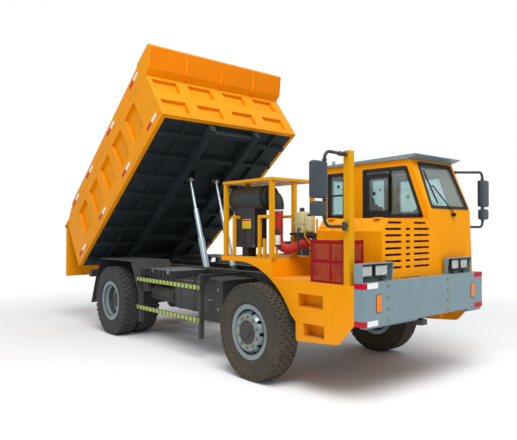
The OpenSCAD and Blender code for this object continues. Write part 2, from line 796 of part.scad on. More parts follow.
post_x = nose_x - 235;
post_w = 70;
module mirror_post() {
  color(yellow) block([post_x, -body_half, plat_z], [post_x + post_w, -body_half + post_w, 2362]);
}

mirror_x = nose_x - 162;
mirror_y = 1450;
pole_y = 1393;
mirror_high = 2325;
mirror_low = 1660;
arm_r = 12;
pad_t = 8;
// A mirror pair: arms on pads, pole, large mirror and small mirror, for the right side.
module mirror_pair(high_x, low_x) {
  for (a = [[high_x, mirror_high], [low_x, mirror_low]]) {
    block([a[0] - 15, -body_half - pad_t, a[1] - 18], [a[0] + 15, -body_half, a[1] + 18]);
    bar([a[0], -body_half - pad_t, a[1]], [mirror_x, -pole_y, a[1]], arm_r);
  }
  translate([mirror_x, -pole_y, mirror_low - 20]) cylinder(h = mirror_high - mirror_low + 40, r = 16);
  block([mirror_x - 45, -mirror_y - 93, 1905], [mirror_x + 17, -mirror_y + 92, 2235]);
  block([mirror_x - 45, -mirror_y - 83, 1750], [mirror_x + 17, -mirror_y + 82, 1882]);
}

module mirrors() {
  color([0.16, 0.2, 0.24]) {
    mirror_pair(nose_x - 200, nose_x - 200);
    mirror([0, 1, 0]) mirror_pair(nose_x - 400, nose_x - 200);
  }
}

guard_x0 = nose_x - 700;
guard_x1 = nose_x - 244;
guard_top = 1526;
guard_out = 1030;
guard_in = 762;
// Open crate of red bars on the platform.
module red_guard() {
  color("crimson") {
    guard_face();
    translate([guard_x1, -guard_in, 0]) guard_end();
  }
}

module guard_face() {
  y0 = -guard_out;
  for (z = [plat_z, 1310, guard_top - 26])
    block([guard_x0, y0, z], [guard_x1, y0 + 8, z + 26]);
  for (x = [guard_x0, nose_x - 415, guard_x1 - 26])
    block([x, y0, plat_z], [x + 26, y0 + 8, guard_top]);
  for (i = [1:7])
    block([guard_x0 + i * 56, y0 + 2, plat_z], [guard_x0 + i * 56 + 8, y0 + 6, guard_top]);
  for (i = [1:6])
    block([guard_x0, y0 + 2, plat_z + i * 56], [guard_x1, y0 + 6, plat_z + i * 56 + 8]);
}

module guard_end() {
  y0 = guard_in - guard_out;
  for (z = [plat_z, 1310, guard_top - 26])
    block([-8, y0, z], [0, 0, z + 26]);
  for (y = [y0, -26])
    block([-8, y, plat_z], [0, y + 26, guard_top]);
  for (i = [1:4])
    block([-6, y0 + i * 54, plat_z], [-2, y0 + i * 54 + 8, guard_top]);
  for (i = [1:6])
    block([-6, y0, plat_z + i * 56], [-2, 0, plat_z + i * 56 + 8]);
}

// ---------------------------------------------------------------- bed

// Bed frame: x from the bed's rear edge forwards, z from its underside.
module in_bed() {
  translate([hinge_x, 0, hinge_z]) rotate([0, -bed_tilt, 0])
    translate([-bed_behind, 0, floor_rise]) children();
}

floor_t = 12;
skin = 10;
module bed_floor() {
  color(orange) in_bed() block([0, -bed_half + recess, 8], [bed_l - recess, bed_half - recess, 8 + floor_t]);
}

beam_in = 360;
beam_out = 450;
beam_h = 130;
beam_end = bed_l - recess - 1;
rib_h = 50;
rib_pitch = 430;
eye_bed = [2432, -75];
// Ribs from the two beams outwards, with a bar across them.
module bed_ribs() {
  color(black) in_bed() both() {
    block([40, -820, -rib_h + 8], [beam_end, -790, 8]);
    for (i = [0:7])
      block([210 + i * rib_pitch, -bed_half + recess + 12, -rib_h], [270 + i * rib_pitch, -beam_out, 8]);
  }
}

// Beams, cross beams, hinge lugs and hoist brackets under the floor.
module bed_beams() {
  color(black) in_bed() {
    both() block([bed_behind - 60, -beam_out, -beam_h], [beam_end, -beam_in, 8]);
    for (x = [bed_behind, 870, 1400, 1930, 2860, 3400])
      block([x - 35, -beam_in, -90], [x + 35, beam_in, 8]);
    both() difference() {
      union() {
        block([bed_behind - 60, -rail_out - 50, -floor_rise], [bed_behind + 60, -rail_out - 10, 8 - beam_h]);
        pin_y(bed_behind, -floor_rise, -rail_out - 50, -rail_out - 10, 60);
      }
      pin_y(bed_behind, -floor_rise, -rail_out - 51, -rail_out - 9, hinge_pin_r + 0.05);
    }
    both() for (y = [-hoist_y - 44, -hoist_y + 32])
      block([eye_bed[0] - 110, y, eye_bed[1] - 25], [eye_bed[0] + 110, y + 12, 8]);
    both() block([eye_bed[0] - 110, -beam_in, -8], [eye_bed[0] + 110, -150, 8]);
  }
}

// Side recesses: first one's rear edge, width, pitch, low, high.
rec_first = 545;
rec_w = 376;
rec_pitch = 547;
rec_low = 258;
rec_high = 750;
gate_pin = [-38, 898];
gate_pin_r = 18;
side_shape = [[0, 0], [bed_l, 0], [bed_l, front_h], [bed_l + 114, front_h + 13], [bed_l + 315, 1016],
              [bed_l + 304, 1087], [bed_l - 80, 1107], [bed_l - 120, side_h], [425, side_h], [411, 1052],
              [24, 904], [16, 880]];

module bed_side() {
  difference() {
    side_cut(side_shape, -bed_half, -bed_half + recess);
    for (i = [0:4])
      block([rec_first + i * rec_pitch, -bed_half - 1, rec_low],
            [rec_first + i * rec_pitch + rec_w, -bed_half + recess - skin, rec_high]);
    block([bed_l - recess, -bed_half + recess - 12, -1], [bed_l + 1, -bed_half + recess + 1, front_h]);
    block([bed_l, -bed_half + 12, front_h - 1], [bed_l + 400, -bed_half + recess + 1, 1200]);
  }
  block([-62, -bed_half - 16, 872], [110, -bed_half, 924]);
  pin_y(gate_pin[0], gate_pin[1], -bed_half - 16, -bed_half + 38, gate_pin_r);
}

module bed_sides() {
  color(orange) in_bed() both() bed_side();
}

// Recesses of the front wall: low and high of each row, and the columns.
wall_rows = [[85, 310], [503, 722]];
wall_cols = [-1158, -568, 46, 650];
wall_rec_w = 400;
front_in = bed_half - recess + 12;
module bed_front_wall() {
  color(orange) in_bed() {
    difference() {
      block([bed_l - recess, -front_in, 0], [bed_l, front_in, front_h]);
      for (r = wall_rows) for (c = wall_cols)
        block([bed_l - recess + skin, max(c, -front_in + 20), r[0]],
              [bed_l + 1, min(c + wall_rec_w, front_in - 20), r[1]]);
    }
    side_cut([[bed_l, front_h - 12], [bed_l + 114, front_h], [bed_l + 330, 1016], [bed_l + 304, 1087],
              [bed_l + 290, 1075], [bed_l + 300, 1020], [bed_l + 106, front_h + 14], [bed_l, front_h]],
             -bed_half + 12, bed_half - 12);
    for (y = [-620, 0, 620])
      side_cut([[bed_l + 58, front_h + 5], [bed_l + 131, front_h - 28], [bed_l + 268, 965]], y - 5, y + 5);
  }
}

gate_half = bed_half - 5;
gate_low = 892;
gate_up = 145;
// Tailgate, hanging from its pins: dx and dz from the pin.
module tailgate() {
  pin_x = hinge_x + (gate_pin[0] - bed_behind) * cos(bed_tilt) - (gate_pin[1] + floor_rise) * sin(bed_tilt);
  pin_z = hinge_z + (gate_pin[0] - bed_behind) * sin(bed_tilt) + (gate_pin[1] + floor_rise) * cos(bed_tilt);
  color(orange) translate([pin_x, 0, pin_z]) difference() {
    union() {
      block([20, -gate_half, -gate_low], [30, gate_half, -30]);
      for (z = [-gate_low, -gate_low / 2 - 40, -110])
        block([-30, -gate_half, z], [20, gate_half, z + 80]);
      for (y = [-gate_half, -640, -60, 520, gate_half - 120])
        block([-30, y, -gate_low], [20, y + 120, -30]);
      block([-30, -gate_half, -30], [-12, gate_half, 30]);
      block([-30, -gate_half + 65, 30], [-12, gate_half - 65, gate_up]);
      both() block([-30, -gate_half, -45], [22, -gate_half + 40, 35]);
    }
    both() pin_y(0, 0, -gate_half - 1, -gate_half + 35, gate_pin_r + 0.05);
  }
}

// ---------------------------------------------------------------- hoist

// Axis direction of the hoist at rest: from the foot to the rod's eye.
eye_dx = eye_bed[0] - bed_behind;
eye_dz = eye_bed[1] + floor_rise;
eye_x = hinge_x + eye_dx * cos(bed_tilt) - eye_dz * sin(bed_tilt);
eye_z = hinge_z + eye_dx * sin(bed_tilt) + eye_dz * cos(bed_tilt);
hoist_len = norm([eye_x - hoist_x, eye_z - hoist_z]);
hoist_lean = atan2(hoist_x - eye_x, eye_z - hoist_z);
closed_len = 660;
stroke = (hoist_len - closed_len) / 3;
gap = 0.3;

// Along the cylinder: z from the foot pin.
module on_hoist() {
  both() translate([hoist_x, -hoist_y, hoist_z]) rotate([0, -hoist_lean, 0]) children();
}

module ring(z0, z1, r_out, r_in) {
  translate([0, 0, z0]) difference() {
    cylinder(h = z1 - z0, r = r_out);
    translate([0, 0, -1]) cylinder(h = z1 - z0 + 2, r = r_in);
  }
}

module hoist_barrels() {
  color(black) on_hoist() difference() {
    union() {
      translate([0, 0, 40]) cylinder(h = 545, r = 62);
      rotate([90, 0, 0]) translate([0, 0, -40]) cylinder(h = 80, r = 55);
    }
    translate([0, 0, 66]) cylinder(h = 600, r = 50 + gap);
    rotate([90, 0, 0]) translate([0, 0, -41]) cylinder(h = 82, r = 30.05);
  }
}

module hoist_outer_tubes() {
  color("silver") on_hoist() ring(70 + stroke, 600 + stroke, 50, 38 + gap);
}

module hoist_inner_tubes() {
  color("silver") on_hoist() ring(72 + 2 * stroke, 612 + 2 * stroke, 38, 25 + gap);
}

module hoist_rods() {
  color("silver") on_hoist() {
    translate([0, 0, 75 + 3 * stroke]) cylinder(h = closed_len - 75 - 20, r = 25);
    translate([0, 27, closed_len + 3 * stroke]) rotate([90, 0, 0]) cylinder(h = 54, r = 38);
  }
}

// ---------------------------------------------------------------- steering

// Knuckle: two ears on the king pin, stub axle and steering arm; right side.
arm_back = 190;
arm_y = king_y - 60;
module knuckle() {
  translate([front_x, -king_y, axle_z - king_h / 2 - 20]) cylinder(h = king_h + 40, r = king_r);
  for (z = [axle_z - 95, axle_z + 61])
    translate([front_x, -king_y, z]) cylinder(h = 34, r = 52);
  difference() {
    block([front_x - 45, -king_y - 95, axle_z - 95], [front_x + 45, -king_y, axle_z + 95]);
    translate([front_x, -king_y, axle_z - 61]) cylinder(h = 122, r = 58);
  }
  pin_y(front_x, axle_z, -track_out + 55, -king_y - 90, spindle_r);
  side_arm();
}

module side_arm() {
  block([front_x - arm_back - 25, -arm_y - 25, axle_z - 95], [front_x - 30, -arm_y + 25, axle_z - 70]);
  block([front_x - 60, -king_y, axle_z - 95], [front_x - 20, -arm_y + 25, axle_z - 70]);
}

module knuckle_right() {
  color(black) knuckle();
}

module knuckle_left() {
  color(black) mirror([0, 1, 0]) knuckle();
}

module tie_rod() {
  color(black) {
    pin_y(front_x - arm_back, axle_z - 125, -arm_y, arm_y, 17);
    both() translate([front_x - arm_back, -arm_y, axle_z - 146]) cylinder(h = 50, r = 28);
  }
}

// ---------------------------------------------------------------- wheels

// Tyre section: radius and half width, from bead to tread, outside then inside.
module tyre_section() {
  h = tyre_w / 2;
  polygon([[rim_r - 40, -h + 40], [rim_r - 10, -h + 32], [rim_r + 3, -h + 27], [rim_r + 8, -h + 12],
           [rim_r + 25, -h + 4], [tyre_r - 120, -h], [tyre_r - 50, -h + 8], [tyre_r - 12, -h + 26],
           [tyre_r, -h + 45], [tyre_r, h - 45], [tyre_r - 12, h - 26], [tyre_r - 50, h - 8],
           [tyre_r - 120, h], [rim_r + 25, h - 4], [rim_r + 8, h - 12],
           [rim_r + 3, h - 27], [rim_r - 10, h - 32],
           [rim_r - 40, h - 40], [rim_r - 30, h - 50],
           [tyre_r - 120, h - 24], [tyre_r - 40, h - 60], [tyre_r - 40, -h + 60],
           [tyre_r - 120, -h + 24], [rim_r - 30, -h + 50]]);
}

// A ring round the wheel's axis, which runs along Y through x and axle_z.
module on_axle(x, y) {
  translate([x, y, axle_z]) rotate([90, 0, 0]) children();
}

module tyre(x, y) {
  on_axle(x, y) rotate_extrude() tyre_section();
}

well_r = 235;
hole_count = 10;
// Disc of a dished rim: its flat ring lies at f, its edge at e.
function dished(f, e) = [[75, f - 7], [150, f - 7], [well_r - 8, e - 7], [well_r - 8, e + 7], [150, f + 7],
                         [75, f + 7]];

// Disc of the front rim: nut ring outside the tyre and a shoulder back to the well.
nut_face = 140;
front_disc = [[130, nut_face - 14], [194, nut_face - 14], [232, 58], [236, 60], [241, 68], [200, nut_face],
              [130, nut_face]];

// Rim with its disc and a circle of hand holes.
module rim(x, y, disc, hole_at) {
  h = tyre_w / 2;
  on_axle(x, y) {
    rotate_extrude() polygon([[rim_r, -h + 25], [rim_r - 42, -h + 34],
                     [rim_r - 44, -h + 60], [well_r, -h + 80],
                     [well_r, h - 80], [rim_r - 44, h - 60], [rim_r - 42, h - 34], [rim_r, h - 25],
                     [rim_r, h - 17],
                     [rim_r - 52, h - 24], [rim_r - 56, h - 60],
                     [well_r - 12, h - 86], [well_r - 12, -h + 86],
                     [rim_r - 56, -h + 60], [rim_r - 52, -h + 24], [rim_r, -h + 17]]);
    difference() {
      rotate_extrude() polygon(disc);
      for (i = [0:hole_count - 1])
        rotate([0, 0, i * 360 / hole_count]) translate([hole_at, 0, -150]) cylinder(h = 300, r = 23);
    }
  }
}

// Hub round the stub axle: from y0 to y1 beside the disc.
module hub(x, y0, y1) {
  translate([x, y1, axle_z]) rotate([90, 0, 0]) difference() {
    cylinder(h = y1 - y0, r = 92);
    translate([0, 0, -1]) cylinder(h = y1 - y0 + 2, r = spindle_r + 0.05);
  }
}

front_y = track_out - tyre_w / 2;
rear_out_y = track_out - tyre_w / 2;
rear_in_y = rear_out_y - twin_gap;

module front_rim() {
  rim(front_x, -front_y, front_disc, 220);
  hub(front_x, -front_y - nut_face + 14, -king_y - 100);
  on_axle(front_x, -front_y - nut_face + 14) cylinder(h = 20, r = 131);
  on_axle(front_x, -front_y - nut_face - 6) cylinder(h = 18, r = 53);
}

module rear_rims() {
  rim(rear_x, -rear_out_y, dished(-95, -34), 186);
  rim(rear_x, -rear_in_y, dished(95, 34), 186);
  hub(rear_x, -rear_out_y - 16, -rear_in_y + 60);
  on_axle(rear_x, -rear_out_y - 16) cylinder(h = 10, r = 105);
}

module front_tyre_right() {
  color("dimgray") tyre(front_x, -front_y);
}

module front_tyre_left() {
  color("dimgray") tyre(front_x, front_y);
}

module front_rim_right() {
  color("lightgray") front_rim();
}

module front_rim_left() {
  color("lightgray") mirror([0, 1, 0]) front_rim();
}

module rear_tyres_right() {
  color("dimgray") for (y = [rear_out_y, rear_in_y])
    tyre(rear_x, -y);
}

module rear_tyres_left() {
  color("dimgray") for (y = [rear_out_y, rear_in_y])
    tyre(rear_x, y);
}

module rear_rims_right() {
  color("lightgray") rear_rims();
}

module rear_rims_left() {
  color("lightgray") mirror([0, 1, 0]) rear_rims();
}

frame_rails();
cross_members();
frame_brackets();
axles();
leaf_springs();
engine();
platform();
raised_deck();
side_panels();
bumper();
hood();
cab_front();
cab_sides();
cab_back();
cab_floor();
cab_roof();
cab_glass();
seat();
dashboard();
cage_posts();
cage_braces();
cage_roof();
air_cleaner();
intake_hose();
intake_duct();
bottles_and_filter();
mirror_post();
mirrors();
red_guard();
lamps();
rear_mudguards();
side_guards();
storage_boxes();
air_tank();
side_tanks();
bed_floor();
bed_beams();
bed_ribs();
bed_sides();
bed_front_wall();
tailgate();
hoist_barrels();
hoist_outer_tubes();
hoist_inner_tubes();
hoist_rods();
knuckle_right();
knuckle_left();
tie_rod();
front_tyre_right();
front_rim_right();
front_tyre_left();
front_rim_left();
rear_tyres_right();
rear_rims_right();
rear_tyres_left();
rear_rims_left();
cab_door();
door_glass();
door_hinges();
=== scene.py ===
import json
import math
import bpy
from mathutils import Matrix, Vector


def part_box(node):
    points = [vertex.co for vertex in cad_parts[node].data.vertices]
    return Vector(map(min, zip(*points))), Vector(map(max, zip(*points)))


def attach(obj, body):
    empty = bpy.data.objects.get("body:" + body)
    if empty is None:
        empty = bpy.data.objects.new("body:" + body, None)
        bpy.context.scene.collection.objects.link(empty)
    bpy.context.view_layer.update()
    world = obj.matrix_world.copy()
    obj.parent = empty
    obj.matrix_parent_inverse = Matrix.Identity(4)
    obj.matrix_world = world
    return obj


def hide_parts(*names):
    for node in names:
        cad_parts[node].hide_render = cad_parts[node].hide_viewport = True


bl_info = {
    "name": "Mining Dump Truck",
    "version": (1, 0, 0),
    "blender": (4, 5, 0),
    "location": "View3D > Sidebar > Dump Truck",
    "description": "Dresses the packed dump truck with tread, trim, glass, paint and dust",
    "category": "Object",
}

import bmesh
import bpy
from mathutils import Matrix, Vector

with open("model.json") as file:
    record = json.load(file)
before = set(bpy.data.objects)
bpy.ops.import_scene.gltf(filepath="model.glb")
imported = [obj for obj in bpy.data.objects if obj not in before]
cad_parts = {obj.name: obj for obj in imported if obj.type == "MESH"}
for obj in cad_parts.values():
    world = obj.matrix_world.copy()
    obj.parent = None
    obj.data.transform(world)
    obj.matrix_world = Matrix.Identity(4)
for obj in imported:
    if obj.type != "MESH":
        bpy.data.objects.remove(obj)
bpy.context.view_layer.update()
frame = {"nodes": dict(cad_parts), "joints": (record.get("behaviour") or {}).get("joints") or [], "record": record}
NODES = frame["nodes"]
JOINTS = {j["name"]: j for j in frame["joints"]}

# ---------------------------------------------------------------- places
# Pieces are drawn in millimetres in a local frame and placed by one of these matrices.

BUMPER_AHEAD = 0.120
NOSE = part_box("cab_front")[1].x + BUMPER_AHEAD
MM = Matrix.Scale(0.001, 4)
TRUCK = Matrix.Translation((NOSE, 0, 0)) @ MM
MIRROR = Matrix.Scale(-1, 4, (0, 1, 0))
AXLE_Z = 0.525
WHEEL_Y = 1.074
FRONT_AXLE, REAR_AXLE = -1481, -4938
UP, AHEAD, TO_RIGHT = (0, 0, 1), (1, 0, 0), (0, -1, 0)
TWIN_SPACING = 320
TILT = math.radians(37.47)
BED_HINGE = (0.292, 0, -0.270)
BED = (
    Matrix.Translation(JOINTS["bed_hinge"]["pos_m"])
    @ Matrix.Rotation(-TILT, 4, "Y")
    @ Matrix.Translation(-Vector(BED_HINGE))
    @ MM
)
GATE = Matrix.Translation(JOINTS["tailgate_hinge"]["pos_m"]) @ MM


def wheel_place(joint):
    """Frame of a right wheel: Z points outwards along the axle."""
    x = JOINTS[joint]["pos_m"][0]
    return Matrix.Translation((x, -WHEEL_Y, AXLE_Z)) @ Matrix.Rotation(math.pi / 2, 4, "X") @ MM


# ---------------------------------------------------------------- shapes


def only_verts(made):
    """The vertices among what a bmesh operator made."""
    return [g for g in made["geom"] if isinstance(g, bmesh.types.BMVert)]


def paint(verts, mat):
    """Gives every face on the vertices a material number."""
    for face in {f for v in verts for f in v.link_faces}:
        face.material_index = mat


def round_edges(bm, verts, size, segments=1):
    """Bevels every edge on the vertices."""
    edges = list({e for v in verts for e in v.link_edges})
    bmesh.ops.bevel(bm, geom=edges, offset=size, offset_type="OFFSET", segments=segments, profile=0.5, affect="EDGES",
                    material=-1)


def box(bm, lo, hi, edge=0.0, mat=0, turn=None, segments=1):
    """A box from its low corner to its high corner, its edges rounded by edge."""
    lo, hi = Vector(lo), Vector(hi)
    made = bmesh.ops.create_cube(bm, size=1.0)["verts"]
    bmesh.ops.scale(bm, vec=hi - lo, verts=made)
    bmesh.ops.translate(bm, vec=(lo + hi) / 2, verts=made)
    if turn:
        bmesh.ops.transform(bm, matrix=turn, verts=made)
    paint(made, mat)
    if edge:
        round_edges(bm, made, edge, segments)


def facing(at, way):
    """Frame at a point whose Z points along way."""
    return Matrix.Translation(at) @ Vector(way).to_track_quat("Z", "Y").to_matrix().to_4x4()


def rod(bm, p, q, r, sides=16, mat=0, r_end=None, edge=0.0):
    """A round or many-sided bar from p to q."""
    p, q = Vector(p), Vector(q)
    end = r if r_end is None else r_end
    made = bmesh.ops.create_cone(bm, cap_ends=True, cap_tris=False, segments=sides, radius1=r, radius2=end,
                                 depth=(q - p).length, matrix=facing((p + q) / 2, q - p))["verts"]
    paint(made, mat)
    if edge:
        round_edges(bm, made, edge)


def lathe(bm, profile, steps=64, place=None, mat=0):
    """Spins a profile of (radius, height) points round local Z."""
    verts = [bm.verts.new((r, 0, z)) for r, z in profile]
    edges = [bm.edges.new(e) for e in zip(verts, verts[1:] + verts[:1])]
    bmesh.ops.spin(bm, geom=verts + edges, cent=(0, 0, 0), axis=(0, 0, 1), angle=2 * math.pi, steps=steps,
                   use_merge=True)
    ring = list({v for e in edges for v in walk(e)})
    poles = [v for v in ring if v.co.xy.length < 0.01]
    bmesh.ops.remove_doubles(bm, verts=poles, dist=0.01)
    ring = [v for v in ring if v.is_valid]
    loose = list({e for v in ring for e in v.link_edges if not e.link_faces})
    bmesh.ops.delete(bm, geom=loose, context="EDGES")
    paint(ring, mat)
    if place:
        bmesh.ops.transform(bm, matrix=place, verts=ring)


def walk(edge):
    """Every vertex joined to an edge."""
    seen = set(edge.verts)
    todo = list(seen)
    while todo:
        for e in todo.pop().link_edges:
            for v in e.verts:
                if v not in seen:
                    seen.add(v)
                    todo.append(v)
    return seen


def prism(bm, points, push, edge=0.0):
    """A flat outline of 3-D points pushed out along a vector."""
    face = bm.faces.new([bm.verts.new(p) for p in points])
    top = only_verts(bmesh.ops.extrude_face_region(bm, geom=[face], use_keep_orig=True))
    bmesh.ops.translate(bm, vec=push, verts=top)
    if edge:
        round_edges(bm, list(face.verts) + top, edge)


def band(bm, points, width, push, corner=0.0):
    """A strip inside a flat outline, its corners rounded, pushed out along a vector."""
    face = bm.faces.new([bm.verts.new(p) for p in points])
    if corner:
        made = bmesh.ops.bevel(bm, geom=list(face.verts), offset=corner, offset_type="OFFSET", segments=4, profile=0.5,
                               affect="VERTICES", material=-1)
        face = next(iter({f for v in made["verts"] for f in v.link_faces}))
    ring = bmesh.ops.inset_region(bm, faces=[face], thickness=width, use_boundary=True, use_even_offset=True)["faces"]
    bmesh.ops.delete(bm, geom=[face], context="FACES_ONLY")
    top = only_verts(bmesh.ops.extrude_face_region(bm, geom=ring, use_keep_orig=True))
    bmesh.ops.translate(bm, vec=push, verts=top)


def hose(bm, path, r, sides=12, mat=0, radii=None):
    """A tube along a list of points; radii gives each point its own size."""
    path = [Vector(p) for p in path]
    steps = [(b - a).normalized() for a, b in zip(path, path[1:])]
    ways = [steps[0]] + [(a + b).normalized() for a, b in zip(steps, steps[1:])] + [steps[-1]]
    turn = ways[0].to_track_quat("Z", "Y")
    place = Matrix.Translation(path[0]) @ turn.to_matrix().to_4x4()
    ring = bmesh.ops.create_circle(bm, cap_ends=False, segments=sides, radius=r, matrix=place)["verts"]
    edges = list({e for v in ring for e in v.link_edges})
    every = list(ring)
    caps = [edges]
    for step, (point, before, way) in enumerate(zip(path[1:], ways, ways[1:]), 1):
        turn = before.rotation_difference(way) @ turn
        then = Matrix.Translation(point) @ turn.to_matrix().to_4x4()
        made = bmesh.ops.extrude_edge_only(bm, edges=edges)
        ring = only_verts(made)
        edges = [g for g in made["geom"] if isinstance(g, bmesh.types.BMEdge) and all(v in ring for v in g.verts)]
        if radii:
            then = then @ Matrix.Diagonal((radii[step] / r, radii[step] / r, 1, 1))
        bmesh.ops.transform(bm, matrix=then @ place.inverted(), verts=ring)
        place = then
        every += ring
    caps.append(edges)
    for loop in caps:
        bmesh.ops.contextual_create(bm, geom=loop)
    paint(every, mat)


def bolt(bm, at, way, r=13, h=9, mat=0):
    """A hexagon head with its washer, standing on a face."""
    at, way = Vector(at), Vector(way).normalized()
    rod(bm, at - way, at + way * 2.5, r * 1.35, mat=mat)
    rod(bm, at + way * 2, at + way * h, r, 6, mat)


def bolts(bm, xs, ys, zs, way, r, h, mat=0):
    """Bolts wherever three lists of positions meet."""
    for at in [(x, y, z) for x in xs for y in ys for z in zs]:
        bolt(bm, at, way, r, h, mat)


def bead(bm, points, r, sides=6):
    """A weld bead or rolled lip: straight bars from point to point."""
    for a, b in zip(points, points[1:]):
        rod(bm, a, b, r, sides)


def repeat(bm, count, start):
    """Copies everything made since vertex number start, count times in all, round local Z."""
    bm.verts.ensure_lookup_table()
    verts = list(bm.verts)[start:]
    faces = list({f for v in verts for f in v.link_faces})
    edges = list({e for v in verts for e in v.link_edges})
    bmesh.ops.spin(bm, geom=verts + edges + faces, cent=(0, 0, 0), axis=(0, 0, 1), steps=count - 1,
                   angle=2 * math.pi * (count - 1) / count, use_duplicate=True)


def shown(name, data):
    """Makes an object from its data and links it to the scene."""
    obj = bpy.data.objects.new(name, data)
    bpy.context.scene.collection.objects.link(obj)
    return obj


def mesh_from(name, bm):
    """Turns a bmesh into a mesh and frees it."""
    mesh = bpy.data.meshes.new(name)
    bm.to_mesh(mesh)
    bm.free()
    return mesh


def piece(name, bm, looks, body, place=TRUCK, slot=None, stands_for=(), crease=35):
    """Makes the finished object: placed, normals outwards, materials on, riding on a body."""
    bmesh.ops.transform(bm, matrix=place, verts=bm.verts)
    bmesh.ops.recalc_face_normals(bm, faces=bm.faces)
    for face in bm.faces:
        face.smooth = True
    mesh = mesh_from(name, bm)
    mesh.set_sharp_from_angle(angle=math.radians(crease))
    for look in looks:
        mesh.materials.append(bpy.data.materials[look])
    obj = shown(name, mesh)
    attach(obj, body)
    if stands_for:
        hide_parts(*stands_for)
    return obj


def both_sides(bm):
    """Adds the left-hand copy of everything drawn for the right."""
    made = bmesh.ops.duplicate(bm, geom=list(bm.verts) + list(bm.edges) + list(bm.faces))
    bmesh.ops.scale(bm, vec=(1, -1, 1), verts=only_verts(made))


def draw(name, makers, looks, body="chassis", place=TRUCK, **rest):
    """Makes a piece from its makers, one function or a list that may hold both_sides."""
    bm = bmesh.new()
    for maker in makers if isinstance(makers, (list, tuple)) else [makers]:
        maker(bm)
    return piece(name, bm, looks, body, place, **rest)


# ---------------------------------------------------------------- shader groups


SOCKETS = {"Vector": "NodeSocketVector", "Color": "NodeSocketColor"}


def group(name, inputs, outputs):
    """An empty shader node group; sockets named Vector and Color have those types, the others are numbers."""
    tree = bpy.data.node_groups.new(name, "ShaderNodeTree")
    for way, labels in (("INPUT", inputs), ("OUTPUT", outputs)):
        for label in labels:
            kind = SOCKETS.get(label, "NodeSocketFloat")
            socket = tree.interface.new_socket(name=label, in_out=way, socket_type=kind)
            if way == "INPUT" and inputs[label] is not None:
                socket.default_value = inputs[label]
    return tree, tree.nodes.new("NodeGroupInput").outputs, tree.nodes.new("NodeGroupOutput")


def fill(made, values):
    """Sets a node's inputs, or links them where the value is another node's socket."""
    for key, value in values.items():
        if isinstance(value, bpy.types.NodeSocket):
            made.id_data.links.new(value, made.inputs[key])
        else:
            made.inputs[key].default_value = value


def node(tree, kind, values=(), **settings):
    """Adds a node with its settings and inputs."""
    made = tree.nodes.new(kind)
    for key, value in settings.items():
        setattr(made, key, value)
    fill(made, dict(values))
    return made


def sums(tree, what, a, b=0.0, clamp=False):
    """A math node's result."""
    return node(tree, "ShaderNodeMath", {0: a, 1: b}, operation=what, use_clamp=clamp).outputs[0]


def ramp(tree, value, low, high, start=0.0, end=1.0):
    """A value mapped from low..high to start..end."""
    return node(tree, "ShaderNodeMapRange", {0: value, 1: low, 2: high, 3: start, 4: end}).outputs[0]


def noise(tree, vector, scale, detail=4.0, rough=0.6):
    """A noise texture's value."""
    values = {"Vector": vector, "Scale": scale, "Detail": detail, "Roughness": rough}
    return node(tree, "ShaderNodeTexNoise", values).outputs[0]


def split(tree, vector):
    """The X, Y and Z sockets of a vector."""
    return node(tree, "ShaderNodeSeparateXYZ", {0: vector}).outputs


def mix(tree, factor, a, b):
    """One colour over another."""
    return node(tree, "ShaderNodeMix", {0: factor, 6: a, 7: b}, data_type="RGBA").outputs[2]


def use(tree, name, values):
    """Places one of the node groups and returns its outputs."""
    return node(tree, "ShaderNodeGroup", values, node_tree=bpy.data.node_groups[name]).outputs


def make_edge_wear():
    """Paint rubbed off along edges, broken up by noise."""
    tree, given, out = group("Edge wear", {"Vector": None, "Width": 0.006, "Amount": 0.5}, ["Mask"])
    soft = node(tree, "ShaderNodeBevel", {"Radius": given["Width"]}, samples=4).outputs[0]
    sharp = node(tree, "ShaderNodeNewGeometry").outputs["Normal"]
    dot = node(tree, "ShaderNodeVectorMath", {0: soft, 1: sharp}, operation="DOT_PRODUCT").outputs["Value"]
    patches = ramp(tree, noise(tree, given["Vector"], 14.0, 6.0), 0.42, 0.62)
    rubbed = ramp(tree, sums(tree, "MULTIPLY", sums(tree, "SUBTRACT", 1.0, dot), patches), 0.02, 0.10)
    fill(out, {"Mask": sums(tree, "MULTIPLY", rubbed, given["Amount"], True)})


def make_dust():
    """Pale dust: thick low down and on faces that look up, in blotches."""
    tree, given, out = group("Dust", {"Vector": None, "Height": 1.0, "Low": 0.3, "Top": 0.2}, ["Mask"])
    rise = sums(tree, "DIVIDE", split(tree, given["Vector"])[2], given["Height"])
    low = sums(tree, "MULTIPLY", sums(tree, "SUBTRACT", 1.0, rise, True), given["Low"])
    facing_up = split(tree, node(tree, "ShaderNodeNewGeometry").outputs["Normal"])[2]
    up = sums(tree, "MULTIPLY", ramp(tree, facing_up, 0.4, 1.0), given["Top"])
    cloud = ramp(tree, noise(tree, given["Vector"], 3.5, 8.0, 0.65), 0.3, 0.75, 0.35, 1.35)
    fill(out, {"Mask": sums(tree, "MULTIPLY", sums(tree, "ADD", low, up), cloud, True)})


def make_patchy():
    """Slow change of a colour over a surface, with faint rain streaks."""
    tree, given, out = group("Patchy", {"Vector": None, "Color": None, "Amount": 0.1}, ["Color"])
    blotch = noise(tree, given["Vector"], 1.6, 5.0)
    tall = node(tree, "ShaderNodeMapping", {"Vector": given["Vector"], "Scale": (9.0, 9.0, 0.7)})
    streak = noise(tree, tall.outputs[0], 2.2, 5.0, 0.7)
    value = ramp(tree, sums(tree, "MULTIPLY", sums(tree, "ADD", blotch, streak), 0.5), 0.35, 0.65)
    swing = sums(tree, "MULTIPLY", sums(tree, "SUBTRACT", value, 0.5), given["Amount"])
    values = {"Color": given["Color"], "Value": sums(tree, "ADD", swing, 1.0)}
    fill(out, {"Color": node(tree, "ShaderNodeHueSaturation", values).outputs[0]})


